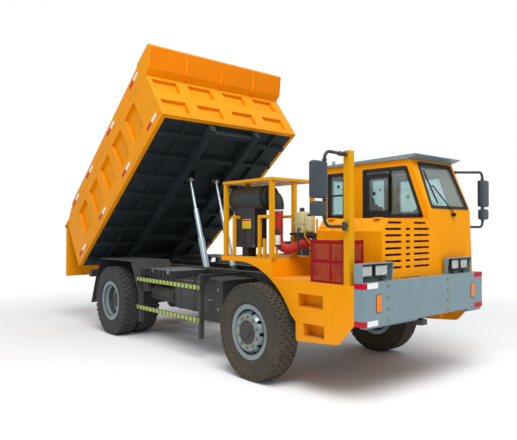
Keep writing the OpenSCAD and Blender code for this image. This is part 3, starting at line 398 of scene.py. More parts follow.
def make_grain():
    """Fine roughness and height, as orange peel, casting skin or moulded grain."""
    tree, given, out = group("Grain", {"Vector": None, "Scale": 300.0}, ["Value", "Height"])
    fine = noise(tree, given["Vector"], given["Scale"], 3.0)
    fill(out, {"Height": fine, "Value": noise(tree, given["Vector"], 9.0, 5.0)})


# ---------------------------------------------------------------- materials

DUST = (0.34, 0.27, 0.19, 1)


def blank(name):
    """A new material: itself, its tree, its shader and the object coordinates."""
    mat = bpy.data.materials.new(name)
    mat.use_nodes = True
    tree = mat.node_tree
    return mat, tree, tree.nodes["Principled BSDF"], node(tree, "ShaderNodeTexCoord").outputs["Object"]


def coated(name, colour, rough, metal=0.0, coat=0.0, under=(0.30, 0.13, 0.05), wear=0.3, edge=0.006, low=0.1, top=0.1,
           height=1.1, patch=0.12, grain=260.0, bump=0.15, dust=DUST, shine=0.3):
    """A solid finish: patchy colour, rubbed edges, dust, changing roughness and a fine bump."""
    mat, tree, shader, where = blank(name)
    colour_out = use(tree, "Patchy", {"Vector": where, "Color": (*colour, 1), "Amount": patch})["Color"]
    if wear:
        rubbed = use(tree, "Edge wear", {"Vector": where, "Width": edge, "Amount": wear})["Mask"]
        colour_out = mix(tree, rubbed, colour_out, (*under, 1))
    dusty = use(tree, "Dust", {"Vector": where, "Height": height, "Low": low, "Top": top})["Mask"]
    skin = use(tree, "Grain", {"Vector": where, "Scale": grain})
    base = ramp(tree, skin["Value"], 0.3, 0.7, *rough)
    lift = node(tree, "ShaderNodeBump", {"Height": skin["Height"], "Strength": bump, "Distance": 0.001})
    fill(shader, {
        "Base Color": mix(tree, dusty, colour_out, dust),
        "Roughness": sums(tree, "ADD", base, sums(tree, "MULTIPLY", dusty, 0.5), True),
        "Normal": lift.outputs[0],
        "Metallic": metal,
        "Specular IOR Level": shine,
        "Coat Weight": coat,
        "Coat Roughness": 0.25,
    })
    mat.diffuse_color = (*colour, 1)


def glassy(name, colour, rough=0.04, clear=0.85):
    """Clear or tinted glass with a film of dust."""
    _, tree, shader, where = blank(name)
    dusty = use(tree, "Dust", {"Vector": where, "Height": 4.0, "Low": 0.05, "Top": 0.1})["Mask"]
    fill(shader, {
        "Base Color": mix(tree, dusty, (*colour, 1), DUST),
        "Roughness": ramp(tree, noise(tree, where, 20.0), 0.3, 0.7, rough, rough + 0.08),
        "Transmission Weight": clear,
        "IOR": 1.45,
    })


def chevrons(name, lime, black, centres, pitch):
    """Lime and black arrows that point forwards, on the two guard rails."""
    _, tree, shader, where = blank(name)
    along, _, up = split(tree, where)
    away = [sums(tree, "ABSOLUTE", sums(tree, "SUBTRACT", up, z)) for z in centres]
    slant = sums(tree, "ADD", along, sums(tree, "MINIMUM", *away))
    saw = sums(tree, "FRACT", sums(tree, "DIVIDE", slant, pitch))
    shade = mix(tree, sums(tree, "GREATER_THAN", saw, 0.6), (*lime, 1), (*black, 1))
    dusty = use(tree, "Dust", {"Vector": where, "Height": 1.4, "Low": 0.3, "Top": 0.2})["Mask"]
    fill(shader, {
        "Base Color": mix(tree, dusty, shade, DUST),
        "Roughness": ramp(tree, noise(tree, where, 30.0), 0.3, 0.7, 0.3, 0.55),
    })


def make_looks(p):
    """Makes every material; p holds the colours of the main paints."""
    for make in (make_edge_wear, make_dust, make_patchy, make_grain):
        make()
    steel = (0.16, 0.10, 0.07)
    coated("Orange paint", p.orange, (0.34, 0.5), wear=0.6, low=0.12, top=0.22, shine=0.06)
    # Painted shade: a darker, redder copy of the orange paint, used only on the spill guard's sloping face to stand for
    # the shade in its scoop.
    coated("Orange painted shade", (0.70, 0.19, 0.002), (0.34, 0.5), wear=0.5, low=0.12, top=0.15, patch=0.1, shine=0.06)
    coated("Yellow paint", p.yellow, (0.34, 0.5), under=(0.25, 0.14, 0.06), wear=0.6, top=0.2, shine=0.06)
    coated("Grey paint", p.grey, (0.28, 0.42), coat=0.1, under=(0.30, 0.32, 0.33), wear=0.7, low=0.12, top=0.3)
    coated("Black paint", p.black, (0.38, 0.6), under=(0.12, 0.10, 0.09), wear=0.6, low=0.16, top=0.25, height=1.3,
           patch=0.5, bump=0.25)
    coated("Bed underside paint", (0.019, 0.027, 0.031), (0.45, 0.7), under=(0.06, 0.04, 0.02), wear=0.4, low=0.05,
           patch=0.6, shine=0.15)
    coated("Bare wear steel", (0.10, 0.11, 0.12), (0.4, 0.65), metal=0.4, under=(0.3, 0.3, 0.3), wear=0.4, top=0.12,
           patch=0.6)
    coated("Engine iron", (0.07, 0.08, 0.085), (0.45, 0.7), metal=0.2, under=steel, wear=0.5, low=0.3, top=0.3,
           grain=120.0, bump=0.5)
    coated("Black plastic", (0.022, 0.024, 0.026), (0.4, 0.6), under=(0.10, 0.10, 0.10), top=0.3, grain=500.0,
           bump=0.25)
    coated("Red hose rubber", (0.40, 0.015, 0.012), (0.4, 0.6), under=(0.25, 0.05, 0.04), low=0.25, top=0.25)
    coated("Bottle plastic", (0.46, 0.42, 0.20), (0.35, 0.5), under=(0.5, 0.45, 0.3), wear=0.2, low=0.25, top=0.25,
           patch=0.3)
    coated("Filter white", (0.62, 0.60, 0.54), (0.3, 0.5), under=(0.3, 0.28, 0.25), low=0.25, top=0.25)
    coated("Mirror shell", (0.035, 0.048, 0.062), (0.3, 0.45), under=(0.12, 0.13, 0.14), low=0.25, top=0.2)
    coated("Guard red", (0.29, 0.004, 0.012), (0.35, 0.5), under=(0.2, 0.1, 0.08), wear=0.5, low=0.25, top=0.25,
           shine=0.08)
    coated("Bright steel", (0.30, 0.36, 0.39), (0.26, 0.34), metal=0.9, wear=0.0, top=0.0, patch=0.1, bump=0.02)
    coated("Rim silver", (0.20, 0.26, 0.285), (0.18, 0.38), metal=0.6, under=(0.10, 0.09, 0.08), wear=0.6, low=0.2,
           top=0.2, height=1.2, patch=0.4)
    coated("Brass nut", (0.28, 0.25, 0.10), (0.35, 0.55), metal=0.7, under=(0.2, 0.15, 0.1), low=0.4, top=0.2,
           height=1.2)
    rubber = {"rough": (0.65, 0.85), "under": (0.10, 0.09, 0.07), "wear": 0.5, "edge": 0.008, "height": 1.5,
              "patch": 0.5, "grain": 180.0, "bump": 0.5}
    coated("Tyre rubber", (0.026, 0.028, 0.027), low=0.7, top=0.2, dust=(0.115, 0.088, 0.055, 1), **rubber)
    coated("Rear tyre rubber", (0.030, 0.034, 0.036), low=0.22, top=0.15, dust=(0.115, 0.095, 0.07, 1), **rubber)
    coated("Seal rubber", (0.012, 0.013, 0.014), (0.5, 0.7), under=(0.05, 0.05, 0.05), wear=0.2, low=0.25, top=0.2)
    coated("Cushion cloth", (0.030, 0.032, 0.036), (0.75, 0.95), wear=0.0, low=0.0, top=0.15, grain=900.0, bump=0.6)
    coated("Tape white", (0.78, 0.79, 0.80), (0.25, 0.4), under=(0.5, 0.5, 0.5), low=0.2, grain=700.0, bump=0.4)
    coated("Tape red", (0.48, 0.003, 0.02), (0.25, 0.4), under=(0.4, 0.1, 0.1), low=0.2, grain=700.0, bump=0.4,
           shine=0.1)
    # Painted reflection: a lighter blue-grey that stands for the sky reflected on the battery box's top, used on its
    # lid and ribs.
    coated("Lid with painted sky reflection", (0.10, 0.13, 0.15), (0.3, 0.5), under=(0.2, 0.2, 0.2), wear=0.5, low=0.2, top=0.5)
    coated("Label", (0.80, 0.60, 0.01), (0.35, 0.5), wear=0.0)
    coated("Indicator lens", (0.85, 0.19, 0.004), (0.12, 0.25), coat=0.1, wear=0.0, shine=0.2)
    coated("Red lens", (0.50, 0.01, 0.01), (0.12, 0.25), coat=0.5, wear=0.0)
    coated("Lamp mirror", (0.78, 0.80, 0.78), (0.14, 0.3), metal=0.6, wear=0.0, patch=0.5)
    coated("Mirror glass", (0.70, 0.74, 0.78), (0.04, 0.10), metal=1.0, wear=0.0, low=0.05, top=0.0, patch=0.1)
    glassy("Window glass", (0.62, 0.80, 0.80), 0.03, 0.9)
    glassy("Lamp glass", (0.86, 0.88, 0.86), 0.05, 0.6)
    chevrons("Guard chevrons", (0.38, 0.56, 0.02), (0.03, 0.035, 0.035), (0.905, 0.498), 0.095)


LOOK_OF_SLOT = {
    "orange_paint": "Orange paint",
    "yellow_paint": "Yellow paint",
    "grey_paint": "Grey paint",
    "black_paint": "Black paint",
    "engine_iron": "Engine iron",
    "black_plastic": "Black plastic",
    "seat_fabric": "Cushion cloth",
    "hose_rubber": "Red hose rubber",
    "bottle_plastic": "Bottle plastic",
    "mirror_shell": "Mirror shell",
    "red_paint": "Guard red",
    "lamp_lens": "Lamp glass",
    "window_glass": "Window glass",
    "chrome_rod": "Bright steel",
    "tyre_rubber": "Tyre rubber",
    "rim_silver": "Rim silver",
}
LOOK_OF_NODE = {"bed_beams": "Bed underside paint", "bed_ribs": "Bed underside paint",
                "bed_floor": "Bed underside paint"}


def dress_frame():
    """Gives every CAD node its material."""
    slots = {row["node"]: row["material_slot"] for row in frame["record"]["subparts"]}
    for name, obj in NODES.items():
        obj.data.materials.clear()
        obj.data.materials.append(bpy.data.materials[LOOK_OF_NODE.get(name, LOOK_OF_SLOT[slots[name]])])


# ---------------------------------------------------------------- wheels

TREAD_TOP = 524
TREAD_ROOT = 511
TREAD_COUNT = 40


def tyre(bm, middle, blocks):
    """One tyre round local Z at height middle: carcass with rings, and its tread blocks."""
    half = [(262, -93), (290, -102), (303, -107), (309, -122), (322, -129), (334, -132), (337, -135), (345, -135),
            (348, -133), (400, -134), (425, -133), (428, -135), (434, -135), (438, -131), (478, -125), (500, -112),
            (TREAD_ROOT, -92), (TREAD_ROOT, -30)]
    inside = [(276, 84), (405, 110), (470, 90), (470, -90), (405, -110), (276, -84)]
    profile = half + [(r, -z) for r, z in reversed(half)] + inside
    lathe(bm, [(r, z + middle) for r, z in profile], 80)
    bm.verts.ensure_lookup_table()
    start = len(bm.verts)
    pitch = 2 * math.pi / TREAD_COUNT
    for z0, z1, shift, length in blocks:
        turn = Matrix.Rotation(shift * pitch, 4, "Z")
        span = length * pitch * TREAD_TOP
        box(bm, (TREAD_ROOT - 8, -span / 2, middle + z0), (TREAD_TOP - 0.4, span / 2, middle + z1), 2.5, turn=turn)
    for side in (-1, 1):
        turn = Matrix.Rotation(0.0 if side < 0 else pitch / 2, 4, "Z")
        edge = sorted((middle + side * 96, middle + side * 126))
        box(bm, (484, -26, edge[0]), (513, 26, edge[1]), 3, turn=turn)
    repeat(bm, TREAD_COUNT, start)


FRONT_BLOCKS = [(-122, -76, 0.0, 0.84), (-71, -25, 0.5, 0.86), (-20, 20, 0.0, 0.86), (25, 71, 0.5, 0.86),
                (76, 122, 0.0, 0.84)]
REAR_BLOCKS = [(-124, -65, 0.0, 0.76), (-59, -4, 0.5, 0.8), (4, 59, 0.0, 0.8), (65, 124, 0.5, 0.76)]


def studs(bm, count, reach, shift, *bars):
    """Rings of bars round local Z; each bar is (low, high, radius, material, sides) and may end with its edge."""
    for i in range(count):
        a = 2 * math.pi * (i + shift) / count
        x, y = reach * math.cos(a), reach * math.sin(a)
        for low, high, r, mat, sides, *edge in bars:
            rod(bm, (x, y, low), (x, y, high), r, sides, mat, None, *edge)


def front_tyre(bm):
    """The single tyre of a front wheel."""
    tyre(bm, 0, FRONT_BLOCKS)


def twin_tyres(bm):
    """The outer and inner tyre of a twin wheel."""
    for middle in (0, -TWIN_SPACING):
        tyre(bm, middle, REAR_BLOCKS)


def front_wheel_trim(bm):
    """Black hub cover, ring of nuts and valve on a front wheel."""
    cover = [(131.6, 139), (131.6, 143), (127, 147.5), (92, 147.5), (88, 151), (62, 151), (56, 166), (40, 169),
             (0, 169), (0, 145), (120, 141)]
    lathe(bm, cover, 48)
    studs(bm, 10, 165, 0.5, (139, 143, 19, 1, 20), (142, 158, 15, 1, 6, 1.2), (157, 166, 9, 1, 12))
    studs(bm, 8, 106, 0, (147, 154, 6, 0, 6))
    lathe(bm, [(203, 138), (199, 141.5), (137, 141.5), (137, 139.5), (198, 139)], 48, mat=2)
    hose(bm, [(228, 20, 90), (231, 20, 110), (240, 20, 122), (252, 20, 124)], 5, 8, 3)


def rear_wheel_trim(bm):
    """Hub cap, axle flange bolts and nuts deep in the dish of a twin wheel."""
    lathe(bm, [(105.5, 24), (105.5, 27), (84, 29), (80, 34), (0, 34), (0, 20), (100, 20)], 48)
    studs(bm, 10, 92, 0, (26, 36, 8, 1, 6))
    studs(bm, 10, 133, 0.5, (-89, -66, 15, 1, 6, 1.2), (-67, -50, 9, 1, 12))
    hose(bm, [(200, 24, -60), (214, 24, 0), (226, 24, 60), (236, 24, 112)], 5, 8, 3)


SIDES = ("right", "left")


def on_wheel(side, name, maker, looks, wheel, **rest):
    """One piece on the wheel of a side; the left one is the right one's mirror image."""
    flip = MIRROR if side == "left" else Matrix()
    place = flip @ wheel_place(f"{wheel}_{side}_spin")
    draw(f"{name}_{side}", maker, looks, f"{wheel}_{side}", place, **rest)


class TRUCK_OT_tyres(bpy.types.Operator):
    """Make the six tyres with their tread blocks"""

    bl_idname = "truck.tyres"
    bl_label = "Tyres"

    def execute(self, context):
        for side in SIDES:
            on_wheel(side, "front_tread", front_tyre, ["Tyre rubber"], "front_wheel", slot="tyre_rubber",
                     stands_for=[f"front_tyre_{side}"])
            on_wheel(side, "rear_tread", twin_tyres, ["Rear tyre rubber"], "rear_wheels", slot="tyre_rubber",
                     stands_for=[f"rear_tyres_{side}"])
        return {"FINISHED"}


class TRUCK_OT_wheel_trim(bpy.types.Operator):
    """Make hub covers, nuts and valves on the wheels"""

    bl_idname = "truck.wheel_trim"
    bl_label = "Wheel trim"

    def execute(self, context):
        looks = ["Black paint", "Brass nut", "Rim silver", "Seal rubber"]
        for side in SIDES:
            on_wheel(side, "front_hub", front_wheel_trim, looks, "front_wheel")
            on_wheel(side, "rear_hub", rear_wheel_trim, looks, "rear_wheels")
        return {"FINISHED"}


# ---------------------------------------------------------------- front end


def work_lamps(bm):
    """The four square lamps in the bumper."""
    for y0, y1 in ((-1037, -868), (-832, -637), (496, 650), (680, 834)):
        work_lamp(bm, y0, y1)


def work_lamp(bm, y0, y1):
    """Square work lamp: shell, bowl, bulb, fluted glass and a bezel."""
    low, high = 1195, 1302
    middle = ((y0 + y1) / 2, (low + high) / 2)
    box(bm, (-95, y0, low), (-66, y1, high), 6, segments=2)
    corners = [(-66, y0, low), (-66, y1, low), (-66, y1, high), (-66, y0, high)]
    band(bm, corners, 9, (14, 0, 0), 16)
    bowl = [(0.98, 0), (0.8, -6), (0.45, -11), (0.2, -12), (0, -12), (0, -14), (0.98, -3)]
    wide = Matrix.Diagonal(((y1 - y0 - 16) / 2, (high - low - 16) / 2, 1, 1))
    lathe(bm, bowl, 32, Matrix.Translation((-57, *middle)) @ Matrix.Rotation(math.pi / 2, 4, "Y")
          @ Matrix.Rotation(math.pi / 2, 4, "Z") @ wide, 1)
    rod(bm, (-68, *middle), (-60, *middle), 13, mat=1, r_end=10)
    box(bm, (-57, y0 + 8, low + 8), (-53.5, y1 - 8, high - 8), 1.5, 2)
    flutes = 9
    pitch = (y1 - y0 - 24) / flutes
    for i in range(flutes):
        y = y0 + 12 + i * pitch
        box(bm, (-54, y + 2, low + 12), (-51.5, y + pitch - 2, high - 12), 1, 2)


def lamp_stands(bm):
    """Dark bars and feet below the work lamps."""
    for y0, y1 in ((-1040, -634), (492, 838)):
        box(bm, (-92, y0, 1172), (-64, y1, 1184), 2)
        for y in (y0 + 60, y1 - 80):
            box(bm, (-88, y, 1147), (-68, y + 24, 1196), 2)
            bolt(bm, (-78, y + 12, 1184), UP, 7, 8)


def indicators(bm):
    """Amber lamps on the bumper and the red and amber cluster at the rear, right side."""
    box(bm, (0, -885, 870), (3, -805, 1035), 1.2)
    box(bm, (2, -880, 875), (7.9, -810, 1030), 3, 1, segments=3)
    for z in (925, 980):
        box(bm, (7, -874, z), (8, -816, z + 3), mat=1)
    box(bm, (-6000, -1090, 845), (-5990, -830, 920), 2)
    for y0, mat in ((-1086, 1), (-1000, 2), (-916, 2)):
        box(bm, (-6014.5, y0, 849), (-5999, y0 + 82, 916), 5, mat, segments=3)


def bumper_trim(bm):
    """Bolts and tapes round the corners."""
    for y, low, high in ((-698, 787, 1101), (335, 773, 1097)):
        bolts(bm, [0], [y], [low + (high - low) * i / 3 for i in range(4)], AHEAD, 10, 8)
    tape = 52
    for z in (750, 1093):
        box(bm, (-108, -1063.2, z), (1.2, -1061.5, z + tape), mat=1)
        box(bm, (-0.5, -1063.1, z), (1.2, -1010, z + tape), mat=1)
        box(bm, (-0.5, -1009.5, z), (1.2, -856, z + tape), mat=2)
        bolt(bm, (1, -1022, z + tape / 2), AHEAD, 3, 2, 1)
        box(bm, (-0.5, 884, z), (1.2, 1063, z + tape), mat=1)
        box(bm, (-108, 1061.5, z), (1.1, 1063.2, z + tape), mat=2)


def hood_trim(bm):
    """Latch, hinge knuckles, pull slot and bolts on the hood, with a handle bar on its side."""
    for y, z in ((-438, 1157), (59, 1151)):
        bolt(bm, (-100, y, z), AHEAD, 7, 6)
    box(bm, (-101, -391, 1149), (-98.5, -19, 1155), 0.8, 1)
    for x in (-215, -820):
        box(bm, (x - 40, -600, 1735), (x + 40, -545, 1752), 3, 2)
        rod(bm, (x - 34, -606, 1742), (x + 34, -606, 1742), 8, 12, 2)
    for z in (1250, 1500):
        box(bm, (-640, -668, z), (-560, -664, z + 26), 1, 1)
        rod(bm, (-600, -664, z + 13), (-600, -672, z + 13), 9, 6)
    hose(bm, [(-900, -664, 1650), (-900, -700, 1655), (-890, -704, 1655), (-740, -704, 1655), (-730, -700, 1655),
              (-730, -664, 1650)], 7, 10, 2)


SCREEN_LEAN = 0.427
SCREEN_OUT = Vector((1, 0, SCREEN_LEAN)).normalized()


def on_screen(y, z, lift=0.0):
    """A point on the windscreen's plane, lifted off it."""
    return Vector((-148 - SCREEN_LEAN * (z - 1860), y, z)) + SCREEN_OUT * lift


def windscreen_trim(bm):
    """Black seal round the windscreen and the two-arm wiper."""
    outline = [(252, 1859), (322, 2391), (1011, 2391), (1033, 1859)]
    band(bm, [on_screen(y, z, -2) for y, z in outline], 36, SCREEN_OUT * 8, 34)
    box(bm, (-150, 650, 1778), (-118, 712, 1818), 6)
    rod(bm, (-145, 681, 1798), (-106, 681, 1798), 13)
    pivot = Vector((-112, 681, 1798))
    top = on_screen(442, 2109, 20)
    rod(bm, pivot, top, 6, 8, r_end=4)
    rod(bm, pivot + Vector((4, -30, 14)), on_screen(410, 2112, 20), 4.5, 8, r_end=3.5)
    rod(bm, top, on_screen(386, 2106, 16), 7, 8)
    rod(bm, on_screen(370, 2286, 16), on_screen(403, 1913, 16), 4, 8)
    rod(bm, on_screen(370, 2290, 9), on_screen(403, 1909, 9), 6, 4)
    for t in (0.15, 0.4, 0.6, 0.85):
        y, z = 370 + 33 * t, 2286 - 373 * t
        rod(bm, on_screen(y, z, 7), on_screen(y, z, 19), 7, 6)


def outline_at(points, y):
    """Points of a side view, set at y."""
    return [(x, y, z) for x, z in points]


def pane_frame(bm, y, way):
    """Sliding pane with rounded corners behind the side window's frame, its latch and bar."""
    band(bm, outline_at([(-1012, 2282), (-632, 2282), (-632, 1800), (-1012, 1800)], y), 50, (0, way * 10, 0), 70)
    box(bm, (-668, min(y, y + way * 14), 1795), (-640, max(y, y + way * 14), 2300), 3)
    rod(bm, (-878, y - way * 2, 2052), (-878, y - way * 16, 2052), 26, 4)
    rod(bm, (-878, y - way * 15, 2052), (-878, y - way * 22, 2052), 10, 12)


NEAR_FRAME = [(-1047, 2342), (-420, 2342), (-205, 1763), (-1047, 1763)]
REAR_FRAME = [(-1617, 2332), (-1323, 2332), (-1323, 1768), (-1617, 1768)]
DOOR_FRAME = [(-1157, 2287), (-515, 2287), (-335, 1823), (-1157, 1823)]


def side_windows(bm):
    """Black frames, bars and sliding panes of the cab's side and back windows."""
    band(bm, outline_at(NEAR_FRAME, 195), 40, (0, 42, 0), 22)
    pane_frame(bm, 206, 1)
    for y, push in ((195, 42), (1067, -42)):
        band(bm, outline_at(REAR_FRAME, y), 38, (0, push, 0), 20)
        rod(bm, (-1446, y + push * 0.2, 2166), (-1446, y + push * 0.5, 2166), 20, 4)
    box(bm, (-1585, 206, 2042), (-1355, 222, 2064), 3)
    back = [(-1704, 323, 1793), (-1704, 939, 1793), (-1704, 939, 2297), (-1704, 323, 2297)]
    band(bm, back, 36, (42, 0, 0), 24)


def cab_trim(bm):
    """Lining, gutter, handle bar and lifting eye washer on the cab."""
    box(bm, (-1660, 240, 2392), (-420, 1022, 2412), 4)
    low, high = 1420, 2150
    hose(bm, [(-1270, 1060, high), (-1270, 1096, high - 4), (-1270, 1104, high - 18), (-1270, 1104, low + 18),
              (-1270, 1096, low + 4), (-1270, 1060, low)], 11, mat=1)
    for y in (250, 980):
        rod(bm, (-148, y, 1900), (-142, y, 1900), 4, 6, 1)


def door_trim(bm):
    """Window frame, pane, hinge bolts and handle on the door."""
    band(bm, outline_at(DOOR_FRAME, 1067), 36, (0, -40, 0), 24)
    box(bm, (-760, 1034, 1840), (-736, 1056, 2270), 3)
    rod(bm, (-1000, 1050, 2052), (-1000, 1066, 2052), 24, 4)
    bolts(bm, [-305], [1067], (1306, 1344, 1656, 1694), (0, 1, 0), 6, 5, 1)
    box(bm, (-1198, 1061, 1690), (-1050, 1068, 1736), 3, 1)
    rod(bm, (-1080, 1066, 1713), (-1080, 1080, 1713), 10)


class TRUCK_OT_lamps(bpy.types.Operator):
    """Make the work lamps, indicators and rear lamps"""

    bl_idname = "truck.lamps"
    bl_label = "Lamps"

    def execute(self, context):
        draw("work_lamps", work_lamps, ["Black plastic", "Lamp mirror", "Lamp glass"], slot="lamp_lens",
             stands_for=["lamps"])
        draw("indicators", [indicators, both_sides], ["Black plastic", "Indicator lens", "Red lens"])
        draw("lamp_stands", lamp_stands, ["Black plastic"])
        return {"FINISHED"}


class TRUCK_OT_front_trim(bpy.types.Operator):
    """Make the bolts, tapes, seals, wiper and hinges of the bumper, hood and cab"""

    bl_idname = "truck.front_trim"
    bl_label = "Front trim"

    def execute(self, context):
        draw("bumper_trim", bumper_trim, ["Brass nut", "Tape red", "Tape white"])
        draw("hood_trim", hood_trim, ["Brass nut", "Seal rubber", "Orange paint"])
        draw("window_seals", [windscreen_trim, side_windows], ["Seal rubber"])
        draw("cab_trim", cab_trim, ["Black plastic", "Black paint"])
        draw("door_trim", door_trim, ["Seal rubber", "Black paint"], "cab_door")
        return {"FINISHED"}


# ---------------------------------------------------------------- cab inside


def seat_base(bm):
    """Stand with its bellows, side rods and pan."""
    box(bm, (-1190, 471, 1151), (-900, 791, 1230), 10)
    for i in range(4):
        box(bm, (-1180 + i * 5, 481 + i * 5, 1230 + i * 38), (-910 - i * 5, 781 - i * 5, 1266 + i * 38), 12, segments=2)
    for y in (440, 822):
        rod(bm, (-1100, y, 1400), (-900, y, 1405), 9, 12)
    box(bm, (-1215, 400, 1381), (-745, 862, 1392), 4)


def seat_cushion(bm):
    """Seat pad with a raised front, side bolsters and piping."""
    box(bm, (-1215, 462, 1390), (-745, 800, 1492), 30, segments=4)
    for y0, y1 in ((398, 468), (794, 864)):
        box(bm, (-1215, y0, 1390), (-745, y1, 1501), 26, segments=4)
    for x in (-1090, -980, -870):
        rod(bm, (x, 470, 1491), (x, 792, 1491), 4, 8)


def seat_back(bm):
    """Leaning back pad with bolsters, head rest and piping."""
    turn = Matrix.Translation((-1205, 0, 1491)) @ Matrix.Rotation(math.radians(-12), 4, "Y")
    box(bm, (-55, 470, 10), (42, 792, 470), 28, turn=turn, segments=4)
    for y0, y1 in ((406, 474), (788, 856)):
        box(bm, (-55, y0, 10), (58, y1, 440), 26, turn=turn, segments=4)
    box(bm, (-45, 520, 450), (35, 742, 558), 28, turn=turn, segments=4)
    for z in (130, 250, 370):
        p, q = turn @ Vector((42, 478, z)), turn @ Vector((42, 784, z))
        rod(bm, p, q, 4, 8)


def cab_controls(bm):
    """Levers, pedals, gauges and the armrest console."""
    box(bm, (-1000, 262, 1151), (-640, 372, 1470), 14, segments=2)
    for x, y, tall in ((-760, 300, 170), (-820, 340, 150), (-900, 316, 190)):
        rod(bm, (x, y, 1460), (x + 25, y, 1470 + tall), 7, 10, 1)
        top = Matrix.Translation((x + 26, y, 1478 + tall))
        lathe(bm, [(0, 28), (14, 24), (20, 10), (16, -8), (8, -16), (0, -16)], 20, top)
    for i in range(5):
        y = 420 + i * 78
        place = facing((-345, y, 1765), (-1, 0, 0.35))
        lathe(bm, [(0, 14), (26, 14), (30, 18), (34, 14), (34, 0), (0, 0)], 28, place)
        lathe(bm, [(0, 15.5), (25, 15.5), (25, 13), (0, 13)], 28, place, 2)
        rod(bm, place @ Vector((0, 0, 15)), place @ Vector((0, 0, 18)), 3, 8, 3)
        box(bm, (-1, -2, 15.6), (1, 20, 17), mat=3, turn=place @ Matrix.Rotation(0.7 * i - 1.2, 4, "Z"))
    pivot = Matrix.Translation((-436, 0, 1262))
    tip = pivot @ Matrix.Rotation(-0.5, 4, "Y") @ pivot.inverted()
    for y in (520, 700, 790):
        rod(bm, (-430, y, 1165), (-395, y, 1260), 8, 8, 1)
        box(bm, (-445, y - 34, 1225), (-428, y + 34, 1300), 5, turn=tip)
    hub = facing((-545, 631, 1775), (-1, 0, 1))
    lathe(bm, [(0, 26), (34, 22), (46, 8), (40, -14), (0, -18)], 32, hub)


class TRUCK_OT_cab_inside(bpy.types.Operator):
    """Make the seat with its cushions, the levers, pedals and gauges"""

    bl_idname = "truck.cab_inside"
    bl_label = "Cab inside"

    def execute(self, context):
        draw("seat_base", seat_base, ["Black plastic"])
        cushion = draw("seat_cushion", seat_cushion, ["Cushion cloth"], slot="seat_fabric", stands_for=["seat"])
        back = draw("seat_back_cushion", seat_back, ["Cushion cloth"], slot="seat_fabric")
        draw("cab_controls", cab_controls, ["Black plastic", "Bright steel", "Filter white", "Red lens"])
        return {"FINISHED"}


# ---------------------------------------------------------------- engine side


HOSE_RADIUS, HOSE_Y = 54, -871


def ribbed(path, r, neck):
    """Radii for a corrugated hose: alternately full and narrowed along the path."""
    return [r if (i // 2) % 2 else r * neck for i in range(len(path))]


def hose_line():
    """Middle line of the red hose: down, round a bend and up to the engine's duct."""
    drop = Vector((-1360, HOSE_Y, 0))
    yaw = math.radians(32)
    ahead = Vector((math.cos(yaw), math.sin(yaw), 0))
    line = [drop + Vector((0, 0, z)) for z in range(1840, 1534, -7)]
    bend = 115
    steps = 34
    for i in range(steps + 1):
        a = math.radians(115) * i / steps
        line.append(drop + ahead * bend * (1 - math.cos(a)) + Vector((0, 0, 1534 - bend * math.sin(a))))
    way = (line[-1] - line[-2]).normalized()
    line += [line[-1] + way * d for d in range(7, 250, 7)]
    return line


def clamp_ring(bm, at, way, r, wide=16, mat=0):
    """Steel band clamp with its screw."""
    place = facing(at, way)
    half = wide / 2
    lathe(bm, [(r, -half), (r + 2.5, -half), (r + 2.5, half), (r, half)], 36, place, mat)
    box(bm, (r + 1, -14, -half + 1), (r + 11, 14, half - 1), 2, mat, place)
    rod(bm, place @ Vector((r + 6, -20, 0)), place @ Vector((r + 6, 18, 0)), 4, 8, mat)


def filter_drum(bm):
    """Bands, cover, clips, ribs and the blank notice of the air filter."""
    drum = Matrix.Translation((-2170, HOSE_Y, 1990)) @ Matrix.Rotation(math.pi / 2, 4, "Y")
    lathe(bm, [(0, -12), (70, -11), (118, -6), (134, 0), (142, 4), (142, 26), (139, 30), (100, 30), (0, 20)], 56, drum)
    for z in (170, 330, 490, 622):
        lathe(bm, [(138, z), (142, z + 3), (142, z + 17), (138, z + 20)], 56, drum)
    lathe(bm, [(138, 60), (144, 60), (144, 84), (138, 84)], 56, drum, 1)
    for i in range(4):
        turn = drum @ Matrix.Rotation(math.pi / 2 * i + 0.6, 4, "Z")
        box(bm, (142, -14, 8), (152, 14, 74), 2, 1, turn)
    for x in (-1985, -1855, -1725):
        box(bm, (x - 5, -967, 1440), (x + 5, -958, 1630), 2)
    box(bm, (-2046, -967, 1632), (-1659, -955, 1640), 2)
    box(bm, (-2046, -967, 1905), (-1659, -775, 1925), 4)
    box(bm, (-1891, -963.5, 1643), (-1735, -960.5, 1751), 1, 2)
    box(bm, (-1886, -964.1, 1724), (-1740, -962.5, 1746), 0.3, 3)
    for i in range(5):
        box(bm, (-1880, -964.1, 1652 + i * 13), (-1748, -962.5, 1656 + i * 13), 0.3, 4)
    bolts(bm, (-2030, -1676), [-961], (1450, 1900), TO_RIGHT, 7, 6, 1)
    clamp_ring(bm, (-1528, HOSE_Y, 2010), AHEAD, 110, 18, 1)
    clamp_ring(bm, (-1466, HOSE_Y, 2010), AHEAD, 62, 16, 1)


